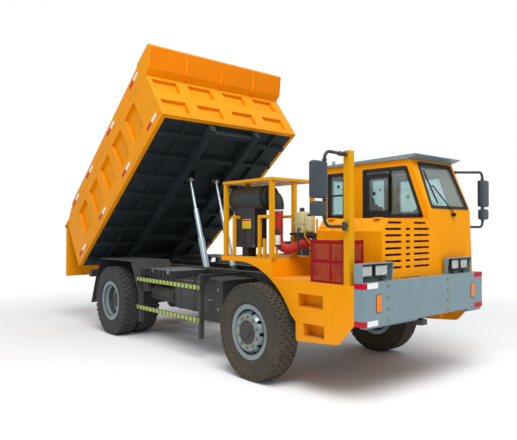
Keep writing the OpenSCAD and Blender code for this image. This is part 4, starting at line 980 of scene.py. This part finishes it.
def bottles(bm):
    """Expansion tank, washer bottle, tray with its yellow stand, fuel filter and their small pipes."""
    box(bm, (-1280, -775, 1568), (-975, -636, 1576), 2)
    for y in (-775, -640):
        box(bm, (-1280, y, 1568), (-975, y + 4, 1596), 1)
    rod(bm, (-985, -645, 1320), (-985, -645, 1745), 13, 12, 1)
    box(bm, (-1010, -670, 1320), (-960, -620, 1328), 2, 1)
    box(bm, (-1230, -765, 1580), (-1085, -640, 1826), 24, 2, segments=3)
    box(bm, (-1234, -768, 1690), (-1081, -637, 1704), 5, 2)
    box(bm, (-1085, -750, 1600), (-992, -665, 1772), 18, 2, segments=3)
    rod(bm, (-1157, -702, 1822), (-1157, -702, 1870), 28, 24, r_end=25, edge=3)
    rod(bm, (-1037, -707, 1768), (-1037, -707, 1798), 22, 20, edge=3)
    hose(bm, [(-1120, -760, 1640), (-1120, -800, 1636), (-1110, -812, 1600), (-1110, -812, 1480), (-1090, -790, 1420),
              (-1060, -700, 1400), (-1000, -640, 1395)], 10, 8)
    hose(bm, [(-1037, -745, 1640), (-1037, -772, 1630), (-1037, -778, 1560), (-1010, -740, 1500), (-1000, -680, 1460)],
         7, 8, 1)
    rod(bm, (-1290, -955, 1320), (-1290, -955, 1450), 14, 12, 1)
    can = Matrix.Translation((-1290, -955, 0))
    lathe(bm, [(0, 1447), (26, 1447), (37, 1452), (40, 1460), (40, 1590), (36, 1596), (0, 1596)], 32, can, 3)
    for z0, z1, r in ((1446, 1466, 41.5), (1574, 1600, 43)):
        lathe(bm, [(38, z0), (r, z0), (r, z1), (38, z1)], 32, can)
    rod(bm, (-1290, -955, 1594), (-1290, -955, 1631), 29, 24, r_end=26, edge=2)
    for y in (-1000, -930):
        hose(bm, [(-1290, -955 + (8 if y > -955 else -8), 1622), (-1290, y, 1640), (-1290, y, 1560), (-1300, y, 1420),
                  (-1330, y, 1330)], 6, 8)


def cage_trim(bm):
    """Foot plates with bolts under the posts and gutter edges on the sheet roof."""
    for x in (-2131, -1303):
        for y in (-1057, -731):
            box(bm, (x - 18, y - 5, 1320), (x + 63, y + 66, 1329), 2)
            for dy in (6, 52):
                bolts(bm, (x - 8, x + 53), [y + dy], [1329], UP, 6, 6, 1)
    for x in (-1962, -1500):
        box(bm, (x - 12, -1058, 1320), (x + 44, -1008, 1326), 1.5)
    for y in (-1062, -412):
        box(bm, (-2143, y, 2190), (-1236, y + 12, 2196), 2)
    bolts(bm, (-2120, -1700, -1270), (-1040, -430), [2193], UP, 7, 4, 1)


def mirror_set(bm, high_x):
    """A mirror pair on its bent tube with clamps, right side."""
    pole_x, pole_y, bend = -162, -1393, 70
    angles = (0.2, 0.45, 0.7, 0.95, 1.2, 1.45)
    tops = [(high_x, -1070, 2325), (high_x + (pole_x - high_x) * 0.2, -1150, 2325)]
    arc = [(pole_x, pole_y + bend - bend * math.sin(a), 2255 + bend * math.cos(a)) for a in angles]
    down = [(pole_x, pole_y, 2200), (pole_x, pole_y, 1960), (pole_x, pole_y, 1745)]
    back = [(pole_x, pole_y + bend - bend * math.cos(a), 1730 - bend * math.sin(a)) for a in angles]
    ends = [(-185, -1180, 1660), (-200, -1070, 1660)]
    hose(bm, tops + arc + down + back + ends, 15)
    box(bm, (high_x - 18, -1170, 2306), (high_x + 18, -1061, 2344), 6)
    box(bm, (-222, -1108, 1622), (-176, -1061, 1704), 7)
    box(bm, (-216, -1180, 1646), (-178, -1100, 1676), 6)
    bolts(bm, [-176], [-1084], (1638, 1690), AHEAD, 8, 7, 1)
    bolts(bm, [high_x], (-1150, -1090), [2344], UP, 7, 6, 1)
    for z0, z1, y0, y1 in ((1905, 2235, -1543, -1358), (1750, 1882, -1533, -1368)):
        box(bm, (-207, y0, z0), (-145, y1, z1), 26, 2, segments=4)
        box(bm, (-209, y0 + 14, z0 + 14), (-204, y1 - 14, z1 - 14), 1, 3)
        band(bm, [(-209, y0 + 6, z0 + 6), (-209, y1 - 6, z0 + 6), (-209, y1 - 6, z1 - 6), (-209, y0 + 6, z1 - 6)], 9,
             (10, 0, 0), 18)
    for z in (2246, 1893, 1738):
        rod(bm, (pole_x, pole_y, z - 8), (pole_x, pole_y, z + 8), 21)


def crossed(bm, x0, x1, z0, z1, spot, pitch, wide):
    """Flat bars crossing both ways inside a window; spot turns (along, up) into a point."""
    span = (x1 - x0) + (z1 - z0)
    for way in (1, -1):
        for i in range(1, int(span / pitch)):
            c = i * pitch
            ends = []
            for along in (max(0, c - (z1 - z0)), min(c, x1 - x0)):
                up = c - along
                ends.append(spot(x0 + along if way > 0 else x1 - along, z0 + up))
            if (ends[0] - ends[1]).length > wide:
                rod(bm, *ends, wide / 2, 4)


def guard_sheet(bm, x0, x1, z0, z1, spot, columns):
    """A sheet of the red guard: wide frame bars round windows of crossed bars."""
    rows = [(z0 + 20, 1308), (1338, z1 - 38)]
    edges = sorted([x0, *columns, x1])
    thick = Vector(spot(0, 0)) - Vector(spot(0, 0, 5))

    def plate(a, b, low, high):
        """A flat bar from a to b along the sheet and from low to high."""
        prism(bm, [spot(a, low), spot(b, low), spot(b, high), spot(a, high)], -thick, 1)

    plate(x0, x1, z0, rows[0][0])
    plate(x0, x1, rows[0][1], rows[1][0])
    plate(x0, x1, rows[1][1], z1)
    wide = {x: 36 if x in (x0, x1) else 18 for x in edges}
    for x in edges:
        for low, high in rows:
            plate(x if x == x0 else x - wide[x], x if x == x1 else x + wide[x], low, high)
    for a, b in zip(edges, edges[1:]):
        for low, high in rows:
            crossed(bm, a + wide[a], b - wide[b], low, high, lambda s, t: Vector(spot(s, t, 2.5)), 30, 13)


def red_guard(bm):
    """Perforated guard on the platform: a long side and a short end."""
    guard_sheet(bm, -700, -244, 1115, 1526, lambda s, t, d=0.0: Vector((s, -1030 + d, t)), [-430])
    guard_sheet(bm, -1030, -762, 1115, 1526, lambda s, t, d=0.0: Vector((-244 - d, s, t)), [])
    hose(bm, [(-700, -1026, 1524), (-250, -1026, 1524), (-246, -1022, 1524), (-246, -764, 1524)], 7, 10)


def red_hose(bm):
    """The intake hose, ribbed along its line."""
    line = hose_line()
    hose(bm, line, HOSE_RADIUS, 28, radii=ribbed(line, HOSE_RADIUS, 0.92))


def hose_clamps(bm):
    """The clamps at both ends of the intake hose."""
    line = hose_line()
    clamp_ring(bm, line[1], UP, HOSE_RADIUS + 1)
    clamp_ring(bm, line[-2], line[-1] - line[-3], HOSE_RADIUS + 1)


class TRUCK_OT_engine_side(bpy.types.Operator):
    """Make the air filter's fittings, red hose, bottles, cage fittings and red guard"""

    bl_idname = "truck.engine_side"
    bl_label = "Engine side"

    def execute(self, context):
        looks = ["Black plastic", "Bright steel", "Label", "Red lens", "Seal rubber"]
        draw("filter_fittings", filter_drum, looks)
        draw("red_hose", red_hose, ["Red hose rubber"], slot="hose_rubber", stands_for=["intake_hose"], crease=60)
        draw("hose_clamps", hose_clamps, ["Bright steel"])
        looks = ["Black plastic", "Yellow paint", "Bottle plastic", "Filter white"]
        draw("bottles", bottles, looks, slot="bottle_plastic", stands_for=["bottles_and_filter"])
        draw("cage_trim", cage_trim, ["Yellow paint", "Brass nut"])
        draw("red_guard_sheets", red_guard, ["Guard red"], slot="red_paint", stands_for=["red_guard"])
        return {"FINISHED"}


def mirror_right(bm):
    """The right pair."""
    mirror_set(bm, -200)


def mirror_left(bm):
    """The left pair, with its two brackets on the cab."""
    mirror_set(bm, -400)
    for x, z in ((-400, 2325), (-200, 1635)):
        box(bm, (x - 22, -1130, z - 20), (x + 22, -1060, z - 4), 3, 4)


class TRUCK_OT_mirrors(bpy.types.Operator):
    """Make the mirror pairs on their bent tubes"""

    bl_idname = "truck.mirrors"
    bl_label = "Mirrors"

    def execute(self, context):
        looks = ["Black paint", "Brass nut", "Mirror shell", "Mirror glass"]
        draw("mirror_pair_right", mirror_right, looks, slot="mirror_shell", stands_for=["mirrors"])
        draw("mirror_pair_left", mirror_left, [*looks, "Orange paint"], place=MIRROR @ TRUCK)
        return {"FINISHED"}


# ---------------------------------------------------------------- bed and tailgate


def bed_tapes(bm):
    """Red and white tape pairs along both edges of the bed's side."""
    long, wide = 155, 50
    low = [(x, 130) for x in (294, 1280, 2323, 3300)]
    high = [(x, 1000) for x in (577, 1300, 2321, 3282)]
    for x, z in low + high:
        box(bm, (x - long, -1221.2, z - wide / 2), (x, -1219.5, z + wide / 2), 0.3)
        box(bm, (x, -1221.2, z - wide / 2), (x + long, -1219.5, z + wide / 2), 0.3, 1)


def bed_seams(bm):
    """Weld beads, stiffener lips and pin washers of the bed's side."""
    rod(bm, (3570, -1220, 794), (2817, -1220, 903), 3.5, 6)
    rod(bm, (2817, -1220, 903), (430, -1220, 903), 3, 6)
    rod(bm, (20, -1220, 60), (3574, -1220, 60), 2.5, 6)
    rod(bm, (3520, -1208, 10), (3520, -1208, 790), 3, 6)
    for i in range(5):
        x0 = 545 + i * 547
        corners = [(x0, -1220, 258), (x0 + 376, -1220, 258), (x0 + 376, -1220, 750), (x0, -1220, 750)]
        bead(bm, corners + corners[:1], 3)
    lathe(bm, [(0, 4), (26, 4), (30, 0), (30, -4), (0, -4)], 28, facing((-38, -1232, 898), TO_RIGHT), 1)


def wall_seams(bm):
    """Fold line, weld beads and rolled edge of the front wall and its spill guard."""
    rod(bm, (3583, -1160, 40), (3583, 1160, 40), 2.5, 6)
    rod(bm, (3583, -1165, 792), (3583, 1165, 792), 4, 6)
    for low, high in ((85, 310), (503, 722)):
        for y in (-1158, -568, 46, 650):
            end = min(y + 400, 1150)
            corners = [(3582, y, low), (3582, end, low), (3582, end, high), (3582, y, high)]
            bead(bm, corners + corners[:1], 2.5)
    for y in (-620, 0, 620):
        for side in (-8, 8):
            rod(bm, (3702, y + side, 798), (3858, y + side, 958), 3, 6)
        blade = [(3583, 770), (3712, 766), (3790, 838), (3868, 970), (3700, 798), (3583, 786)]
        prism(bm, [(x, y - 7, z) for x, z in blade], (0, 14, 0))


def bed_gussets(bm):
    """Corner gussets between the long beams and cross beams, and edge angles under the bed, right side."""
    for x in (870, 1400, 1930, 2860, 3400):
        for way in (-1, 1):
            edge = x + way * 35
            prism(bm, [(edge, -360, -4), (edge + way * 90, -360, -4), (edge, -270, -4)], (0, 0, -10), 1)
            prism(bm, [(edge, -450, 0), (edge + way * 70, -450, 0), (edge + way * 10, -450, -66)], (0, -10, 0), 1)
    for i in range(8):
        x = 240 + i * 430
        prism(bm, [(x, -450, -45), (x, -450, -68), (x, -560, -45)], (10, 0, 0), 1)
        rod(bm, (x - 30, -460, -1), (x - 30, -1140, -1), 3, 6)
    rod(bm, (60, -446, 2), (3500, -446, 2), 4, 6)
    for y in (-286, -198):
        for x in (2350, 2514):
            rod(bm, (x, y, -10), (x, y, -60), 9, 6)
    bolts(bm, (2340, 2524), (-345, -300), [-8], (0, 0, -1), 9, 7)


def spill_guard_painted_shade(bm):
    """Painted shade: a thin sheet of darker, redder orange on the spill guard's sloping face, standing for the shade
    and orange bounce light in its scoop.
    """
    prism(bm, [(3695.6, -1208, 794.4), (3911.6, -1208, 1016.4), (3913, -1208, 1015), (3697, -1208, 793)],
          (0, 2416, 0))


def wear_plate(bm):
    """Bare steel plate on the bed's floor."""
    box(bm, (6, -1150, 20), (3512, 1150, 22))


def hoist_pins(bm):
    """Pin heads of the rods' eyes in the bed's brackets, with locking plates, right side."""
    for y, way in ((-286, -1), (-198, 1)):
        rod(bm, (2432, y - way, -75), (2432, y + way * 9, -75), 33, 24, edge=1.5)
        box(bm, (2412, min(y, y + way * 14), -46), (2452, max(y, y + way * 14), -38), 1)


def gate_trim(bm):
    """Weld beads, rubbing strips and hinge washers of the tailgate."""
    for z in (-892, -486, -110):
        for dz in (0, 80):
            rod(bm, (-30, -1200, z + dz), (-30, 1200, z + dz), 3, 6)
    for y in (-1215, -640, -60, 520, 1095):
        for dy in (0, 120):
            rod(bm, (-30, y + dy, -890), (-30, y + dy, -34), 2.5, 6)
    for side in (-1, 1):
        rod(bm, (0, side * 1215, 0), (0, side * 1218, 0), 30, 24, 1)
    bolts(bm, [30], range(-900, 901, 300), [-860], AHEAD, 8, 6.1, 1)


class TRUCK_OT_bed_trim(bpy.types.Operator):
    """Make the bed's tapes, seams, gussets, wear plate and pins, and the tailgate's seams"""

    bl_idname = "truck.bed_trim"
    bl_label = "Bed trim"

    def execute(self, context):
        draw("bed_tapes", [bed_tapes, both_sides], ["Tape red", "Tape white"], "bed", BED)
        draw("bed_seams", [bed_seams, both_sides, wall_seams], ["Orange paint", "Black paint"], "bed", BED)
        draw("bed_gussets", [bed_gussets, both_sides], ["Bed underside paint"], "bed", BED)
        # The spill guard's sloping face gets a sheet of orange with painted shade.
        draw("spill_guard_painted_shade", spill_guard_painted_shade, ["Orange painted shade"], "bed", BED)
        draw("bed_wear_plate", wear_plate, ["Bare wear steel"], "bed", BED)
        draw("hoist_pins", [hoist_pins, both_sides], ["Brass nut"], "bed", BED)
        draw("tailgate_seams", gate_trim, ["Orange paint", "Black paint"], "tailgate", GATE)
        return {"FINISHED"}


# ---------------------------------------------------------------- chassis


def guard_tapes(bm):
    """Lime and black arrow strips on the side guard's rails."""
    for z in (876, 469):
        box(bm, (-4244, -1101.4, z + 3), (-2588, -1099.5, z + 55), 0.4)


def guard_fittings(bm):
    """Bolts and corner gussets of the side guards, right side."""
    for x in (-4202, -2612):
        bolts(bm, [x], [-1101], (891, 919, 484, 512), TO_RIGHT, 6, 5)
        prism(bm, [(x, -1020, 1034), (x, -900, 1034), (x, -1020, 930)], (10, 0, 0), 1)
    rod(bm, (-2650, -1040, 1040), (-2900, -1040, 900), 12, 10)


def frame_bolts(bm):
    """Rows of bolts where the cross members meet the rail, and an air line with clips, right side."""
    xs = [dx - back for back in (860, 2330, 3060, 4100, 4560, 5300, 5750) for dx in (-24, 24)]
    bolts(bm, xs, [-385], (925, 985), TO_RIGHT, 9, 8)
    line = [(-2440, -392, 1040), (-3900, -392, 1040), (-3960, -400, 1020), (-4000, -400, 900), (-4060, -400, 880),
            (-4700, -400, 880)]
    hose(bm, line, 7, 8, 1)
    hose(bm, [(x, y - 2, z - 20) for x, y, z in line], 5, 8, 1)
    for x in range(-3800, -2500, 260):
        box(bm, (x, -404, 1012), (x + 22, -384, 1052), 2)


def spring_clamps(bm):
    """U-bolts, clamp plates and shackle bolts of the leaf springs, right side."""
    for x, low, high, half in ((FRONT_AXLE, 405, 628, 530), (REAR_AXLE, 430, 735, 610)):
        for dx in (-62, 62):
            for y in (-395, -295):
                rod(bm, (x + dx, y, low), (x + dx, y, high + 18), 10, 12)
                rod(bm, (x + dx, y, high), (x + dx, y, high + 16), 18, 6)
        box(bm, (x - 85, -412, high - 14), (x + 85, -278, high + 2), 4)
        box(bm, (x - 85, -412, low), (x + 85, -278, low + 14), 4)
        for side in (-1, 1):
            rod(bm, (x + side * half, -394, high - 16), (x + side * half, -296, high - 16), 24, 20)
            rod(bm, (x + side * half, -402, high - 16), (x + side * half, -288, high - 16), 12, 6)
            for way in (0.45, 0.75):
                box(bm, (x + side * half * way - 12, -386, high - 60), (x + side * half * way + 12, -304, high - 14), 2)


def brake_parts(bm):
    """Air chambers, push rods and hoses of the rear axle, gear case ribs and drain plugs."""
    for side in (-1, 1):
        chamber = [(0, -70), (60, -66), (74, -50), (74, -8), (80, -4), (80, 4), (74, 8), (70, 50), (40, 66), (0, 66)]
        lathe(bm, chamber, 28, facing((REAR_AXLE - 190, side * 470, 640), AHEAD))
        rod(bm, (-5070, side * 470, 640), (-4950, side * 470, 640), 9, 10, 1)
        run = ((-5190, 470, 690), (-5200, 460, 740), (-5200, 420, 800), (-5190, 395, 860))
        hose(bm, [(x, side * y, z) for x, y, z in run], 8, 8, 2)
        rod(bm, (REAR_AXLE, side * 104, 525), (REAR_AXLE, side * 128, 525), 150, 40, r_end=120)
    for i in range(12):
        a = 2 * math.pi * i / 12
        x, z = REAR_AXLE + 178 * math.cos(a), 525 + 178 * math.sin(a)
        rod(bm, (x, -118, z), (x, 118, z), 11, 6)
    for z in (330, 700):
        rod(bm, (REAR_AXLE, 0, z), (REAR_AXLE, 0, z + 26), 18, 6)


def shaft_joints(bm):
    """Universal joints at both ends of the drive shaft."""
    for x, z in ((-4610, 566), (-2480, 815)):
        rod(bm, (x, -62, z), (x, 62, z), 22)
        rod(bm, (x, 0, z - 62), (x, 0, z + 62), 22)
        rod(bm, (x - 40, 0, z - 5), (x - 26, 0, z - 3), 72, 32)
        rod(bm, (x + 26, 0, z + 3), (x + 40, 0, z + 5), 72, 32)


def box_fittings(bm):
    """Lids, latches, handles, straps and caps on the battery box, tool box, air tank and side tanks; the battery box's
    lid and ribs are a lighter blue-grey that is a painted sky reflection.
    """
    # The battery box's lid and ribs get the blue-grey of a painted sky reflection on their top faces.
    box(bm, (-4154, -934, 1043), (-3496, -392, 1054), 4, 2)
    for x in (-4000, -3830, -3660):
        box(bm, (x - 16, -920, 1053), (x + 16, -410, 1060), 3, 2)
    for x in (-4040, -3600):
        box(bm, (x - 18, -956, 1000), (x + 18, -948, 1062), 2, 1)
        rod(bm, (x - 14, -958, 1018), (x + 14, -958, 1018), 5, 8, 1)
    box(bm, (-2774, -936, 968), (-2326, -424, 1004), 5)
    box(bm, (-2700, -938, 520), (-2400, -928, 940), 5)
    for z in (620, 860):
        box(bm, (-2420, -944, z), (-2392, -928, z + 36), 2, 1)
    rod(bm, (-2600, -946, 745), (-2500, -946, 745), 8, 10, 1)
    for x in (-2600, -2500):
        rod(bm, (x, -946, 745), (x, -930, 745), 6, 8, 1)
    for x in (-4080, -3660):
        lathe(bm, [(112, -18), (116, -18), (116, 18), (112, 18)], 48, facing((x, -800, 690), AHEAD))
    for x, way in ((-4160, -1), (-3540, 1)):
        lathe(bm, [(0, 14), (60, 12), (98, 5), (111, 0), (111, -6), (0, -6)], 48, facing((x, -800, 690), (way, 0, 0)))
        rod(bm, (x, -800, 690), (x + way * 26, -800, 690), 16, 6, 1)
    rod(bm, (-3850, -800, 580), (-3850, -800, 566), 14, 6, 1)
    for lo, hi in (((-3440, -930, 560), (-2850, -440, 940)), ((-3900, 440, 520), (-2850, 930, 960))):
        outer = hi[1] if lo[1] > 0 else lo[1] - 6
        for x in (lo[0] + 110, hi[0] - 150):
            box(bm, (x, lo[1] - 6, lo[2] - 6), (x + 50, hi[1] + 6, lo[2]), 2)
            box(bm, (x, outer, lo[2] - 6), (x + 50, outer + 6, hi[2] + 6), 2)
            box(bm, (x, lo[1] - 6, hi[2]), (x + 50, hi[1] + 6, hi[2] + 6), 2)
        y = -800 if lo[1] < 0 else 800
        rod(bm, (lo[0] + 240, y, hi[2] - 2), (lo[0] + 240, y, hi[2] + 30), 46, 28, r_end=42, edge=3)
        rod(bm, (lo[0] + 240, y, hi[2] + 28), (lo[0] + 240, y, hi[2] + 40), 26, 8)


def tow_fittings(bm):
    """Tow pin's collar, rear tow eye and lamp brackets."""
    lathe(bm, [(20.5, 715), (34, 715), (34, 719), (20.5, 719)], 32, Matrix.Translation((-45, -88, 0)))
    bolts(bm, [-90], (-140, -36), [715], UP, 9, 8, 1)
    box(bm, (-6010, -90, 835), (-5990, 90, 930), 6)
    bolts(bm, [-6010], (-66, 66), (852, 913), (-1, 0, 0), 9, 8, 1)


def mudguard_edges(bm):
    """Rolled light lip along the mudguards, right side."""
    line = [(-5860, 396), (-5680, 826), (-5478, 1154), (-4403, 1154), (-4172, 718)]
    bead(bm, outline_at(line, -1110), 5, 8)
    bolts(bm, (-5390, -4460), (-1000, -700), [1156], UP, 8, 6)


def step_treads(bm):
    """Raised grip strips on the steps sunk in the side panels, right side."""
    for x0, x1, z in ((-847, -500, 858), (-772, -484, 572)):
        for i in range(4):
            y = -1048 + i * 26
            box(bm, (x0 + 8, y, z), (x1 - 8, y + 9, z + 5), 1.5)


def engine_parts(bm):
    """Rocker covers, radiator fins and tanks, fan, pulleys, pipes and filter."""
    for i in range(6):
        x = -1870 + i * 128
        box(bm, (x, -170, 1538), (x + 112, 50, 1572), 12, segments=2)
        bolt(bm, (x + 56, -60, 1572), UP, 8, 7, 1)
    for i in range(48):
        y = -546 + i * 14
        box(bm, (-204, y, 1200), (-196, y + 5, 1610), mat=2)
    for z in (1150, 1616):
        box(bm, (-336, -566, z), (-194, 146, z + 46), 8)
    rod(bm, (-1000, -70, 1330), (-960, -70, 1330), 120, 40)
    rod(bm, (-1000, -70, 1130), (-950, -70, 1130), 90, 36)
    for i in range(6):
        turn = Matrix.Translation((-930, -70, 1330)) @ Matrix.Rotation(i * math.pi / 3, 4, "X")
        box(bm, (-5, -45, 40), (5, 45, 235), 3, turn=turn @ Matrix.Rotation(0.5, 4, "Z"))
    rod(bm, (-960, -70, 1330), (-915, -70, 1330), 46, 24, 1)
    for x in (-1850, -1650, -1450, -1250):
        rod(bm, (x, -292, 900), (x, -300, 900), 60, 20)
        hose(bm, [(x, -236, 1400), (x + 20, -262, 1400), (x + 40, -266, 1340), (x + 40, -266, 1250)], 8, 8, 1)
    hose(bm, [(-1150, 116, 1420), (-1150, 150, 1400), (-1160, 160, 1300), (-1400, 165, 1180), (-2100, 200, 1000),
              (-2300, 260, 820), (-2700, 260, 700)], 45, 20)
    for z in (760, 820, 880):
        box(bm, (-1980, -296, z), (-1020, -288, z + 12), 2)


def front_drum(bm):
    """Brake drum inside a front wheel, with its cooling ring."""
    lathe(bm, [(150, -6), (200, -6), (205, -14), (205, -104), (212, -108), (212, -122), (192, -122), (190, -22),
               (150, -20)], 56)


def rear_drum(bm):
    """Brake drum inside a rear twin, with its cooling ring."""
    lathe(bm, [(96, -300), (200, -300), (207, -310), (207, -420), (214, -424), (214, -440), (190, -440), (188, -318),
               (96, -316)], 56)


class TRUCK_OT_chassis_trim(bpy.types.Operator):
    """Make the fittings of the frame, springs, tanks, boxes, guards and engine"""

    bl_idname = "truck.chassis_trim"
    bl_label = "Chassis trim"

    def execute(self, context):
        for maker, looks in (
            (guard_tapes, ["Guard chevrons"]),
            (guard_fittings, ["Black paint"]),
            (frame_bolts, ["Black paint", "Seal rubber"]),
            (spring_clamps, ["Black paint"]),
            (mudguard_edges, ["Black paint"]),
            (step_treads, ["Orange paint"]),
        ):
            draw(maker.__name__, [maker, both_sides], looks)
        for maker, looks in (
            (brake_parts, ["Engine iron", "Bright steel", "Seal rubber"]),
            (shaft_joints, ["Engine iron"]),
            (box_fittings, ["Black paint", "Bright steel", "Lid with painted sky reflection"]),
            (tow_fittings, ["Black paint", "Brass nut"]),
            (engine_parts, ["Engine iron", "Bright steel", "Black plastic"]),
        ):
            draw(maker.__name__, maker, looks)
        for wheel, maker in (("front_wheel", front_drum), ("rear_wheels", rear_drum)):
            for side in SIDES:
                on_wheel(side, f"{wheel}_drum", maker, ["Engine iron"], wheel)
        return {"FINISHED"}


# ---------------------------------------------------------------- stage


YAW, PITCH = 0.8408617220, 0.0145883525
EYE = (NOSE + 3.103013, -4.828012, 1.638701)
FLOOR_HALF = 60
FADE_FROM, FADE_TO = 4.0, 8.0
LIGHTS = [("Key", (7, -4, 11), 1350, 7), ("Fill", (-2, -11, 6), 60, 8)]


def make_camera():
    """The camera stands ahead and to the right, at eye height."""
    level = math.cos(PITCH)
    ahead = Vector((-math.sin(YAW) * level, math.cos(YAW) * level, math.sin(PITCH)))
    right = Vector((math.cos(YAW), math.sin(YAW), 0))
    up = right.cross(ahead)
    turn = Matrix((right, up, -ahead)).transposed().to_4x4()
    data = bpy.data.cameras.new("Camera")
    data.sensor_width = 36
    data.lens = 37.5839
    data.shift_x = -0.043235
    data.shift_y = 0.001835
    data.clip_end = 200
    camera = shown("Camera", data)
    camera.matrix_world = Matrix.Translation(EYE) @ turn
    bpy.context.scene.camera = camera


def shown_white(tree, shader_out, plain, share=1.0):
    """Camera, glossy and transmission rays see a share of plain white; the rest sees the given shader."""
    rays = node(tree, "ShaderNodeLightPath").outputs
    seen = sums(tree, "MAXIMUM", rays["Is Camera Ray"], rays["Is Glossy Ray"])
    seen = sums(tree, "MAXIMUM", seen, rays["Is Transmission Ray"])
    seen = sums(tree, "MULTIPLY", seen, share)
    return node(tree, "ShaderNodeMixShader", {0: seen, 1: shader_out, 2: plain}).outputs[0]


def make_world():
    """Soft light from all round, seen as plain white."""
    world = bpy.data.worlds.new("Studio")
    world.use_nodes = True
    tree = world.node_tree
    glow = tree.nodes["Background"]
    fill(glow, {"Strength": 0.56, "Color": (0.94, 0.97, 1.0, 1)})
    white = node(tree, "ShaderNodeBackground", {"Color": (1, 1, 1, 1), "Strength": 1.0})
    out = shown_white(tree, glow.outputs[0], white.outputs[0])
    tree.links.new(out, tree.nodes["World Output"].inputs["Surface"])
    return world


def make_light(name, at, power, size):
    """A square light that faces the truck's middle."""
    data = bpy.data.lights.new(name, "AREA")
    data.energy = power
    data.size = size
    shown(name, data).matrix_world = facing(at, at)


def make_floor():
    """A pale floor that fades to plain white away from the truck."""
    bm = bmesh.new()
    bmesh.ops.create_grid(bm, x_segments=2, y_segments=2, size=FLOOR_HALF)
    mesh = mesh_from("floor", bm)
    floor = shown("floor", mesh)
    mat, tree, shader, where = blank("Floor")
    fill(shader, {"Base Color": (0.93, 0.93, 0.93, 1), "Roughness": 0.9, "Specular IOR Level": 0.0})
    away = node(tree, "ShaderNodeVectorMath", {0: where}, operation="LENGTH").outputs["Value"]
    white = node(tree, "ShaderNodeEmission", {"Color": (1, 1, 1, 1)})
    out = shown_white(tree, shader.outputs[0], white.outputs[0], ramp(tree, away, FADE_FROM, FADE_TO))
    tree.links.new(out, tree.nodes["Material Output"].inputs["Surface"])
    mesh.materials.append(mat)


class TRUCK_OT_stage(bpy.types.Operator):
    """Make the camera, floor, white surroundings and soft light"""

    bl_idname = "truck.stage"
    bl_label = "Stage"

    def execute(self, context):
        context.scene.view_settings.view_transform = "Standard"
        make_camera()
        context.scene.world = make_world()
        for row in LIGHTS:
            make_light(*row)
        make_floor()
        return {"FINISHED"}


# ---------------------------------------------------------------- properties and panel


class TruckPaint(bpy.types.PropertyGroup):
    """Colours of the truck's main finishes"""

    orange: bpy.props.FloatVectorProperty(
        name="Orange", description="Body and bed paint", default=(0.83, 0.30, 0.001), subtype="COLOR", min=0, max=1
    )
    yellow: bpy.props.FloatVectorProperty(
        name="Yellow", description="Cage and post paint", default=(0.66, 0.295, 0.003), subtype="COLOR", min=0, max=1
    )
    grey: bpy.props.FloatVectorProperty(
        name="Grey", description="Bumper and cab roof paint", default=(0.17, 0.25, 0.28), subtype="COLOR", min=0, max=1
    )
    black: bpy.props.FloatVectorProperty(
        name="Black", description="Chassis paint", default=(0.022, 0.026, 0.030), subtype="COLOR", min=0, max=1
    )


class TRUCK_OT_looks(bpy.types.Operator):
    """Make the materials and put them on the frame's solids"""

    bl_idname = "truck.looks"
    bl_label = "Materials"

    def execute(self, context):
        make_looks(context.scene.truck_paint)
        dress_frame()
        return {"FINISHED"}


OPERATORS = [
    TRUCK_OT_stage,
    TRUCK_OT_looks,
    TRUCK_OT_tyres,
    TRUCK_OT_wheel_trim,
    TRUCK_OT_lamps,
    TRUCK_OT_front_trim,
    TRUCK_OT_cab_inside,
    TRUCK_OT_mirrors,
    TRUCK_OT_engine_side,
    TRUCK_OT_bed_trim,
    TRUCK_OT_chassis_trim,
]


class TRUCK_PT_panel(bpy.types.Panel):
    """Lists the truck's colours and makers"""

    bl_idname = "TRUCK_PT_panel"
    bl_label = "Dump Truck"
    bl_space_type = "VIEW_3D"
    bl_region_type = "UI"
    bl_category = "Dump Truck"

    def draw(self, context):
        for name in ("orange", "yellow", "grey", "black"):
            self.layout.prop(context.scene.truck_paint, name)
        for maker in OPERATORS:
            self.layout.operator(maker.bl_idname)


def register():
    """Adds the classes and the colours."""
    for item in [TruckPaint, *OPERATORS, TRUCK_PT_panel]:
        bpy.utils.register_class(item)
    bpy.types.Scene.truck_paint = bpy.props.PointerProperty(type=TruckPaint)


def unregister():
    """Takes them out again."""
    del bpy.types.Scene.truck_paint
    for item in reversed([TruckPaint, *OPERATORS, TRUCK_PT_panel]):
        bpy.utils.unregister_class(item)


def main():
    """Runs every operator."""
    register()
    for maker in OPERATORS:
        group_name, call = maker.bl_idname.split(".")
        getattr(getattr(bpy.ops, group_name), call)()


if __name__ == "__main__":
    main()
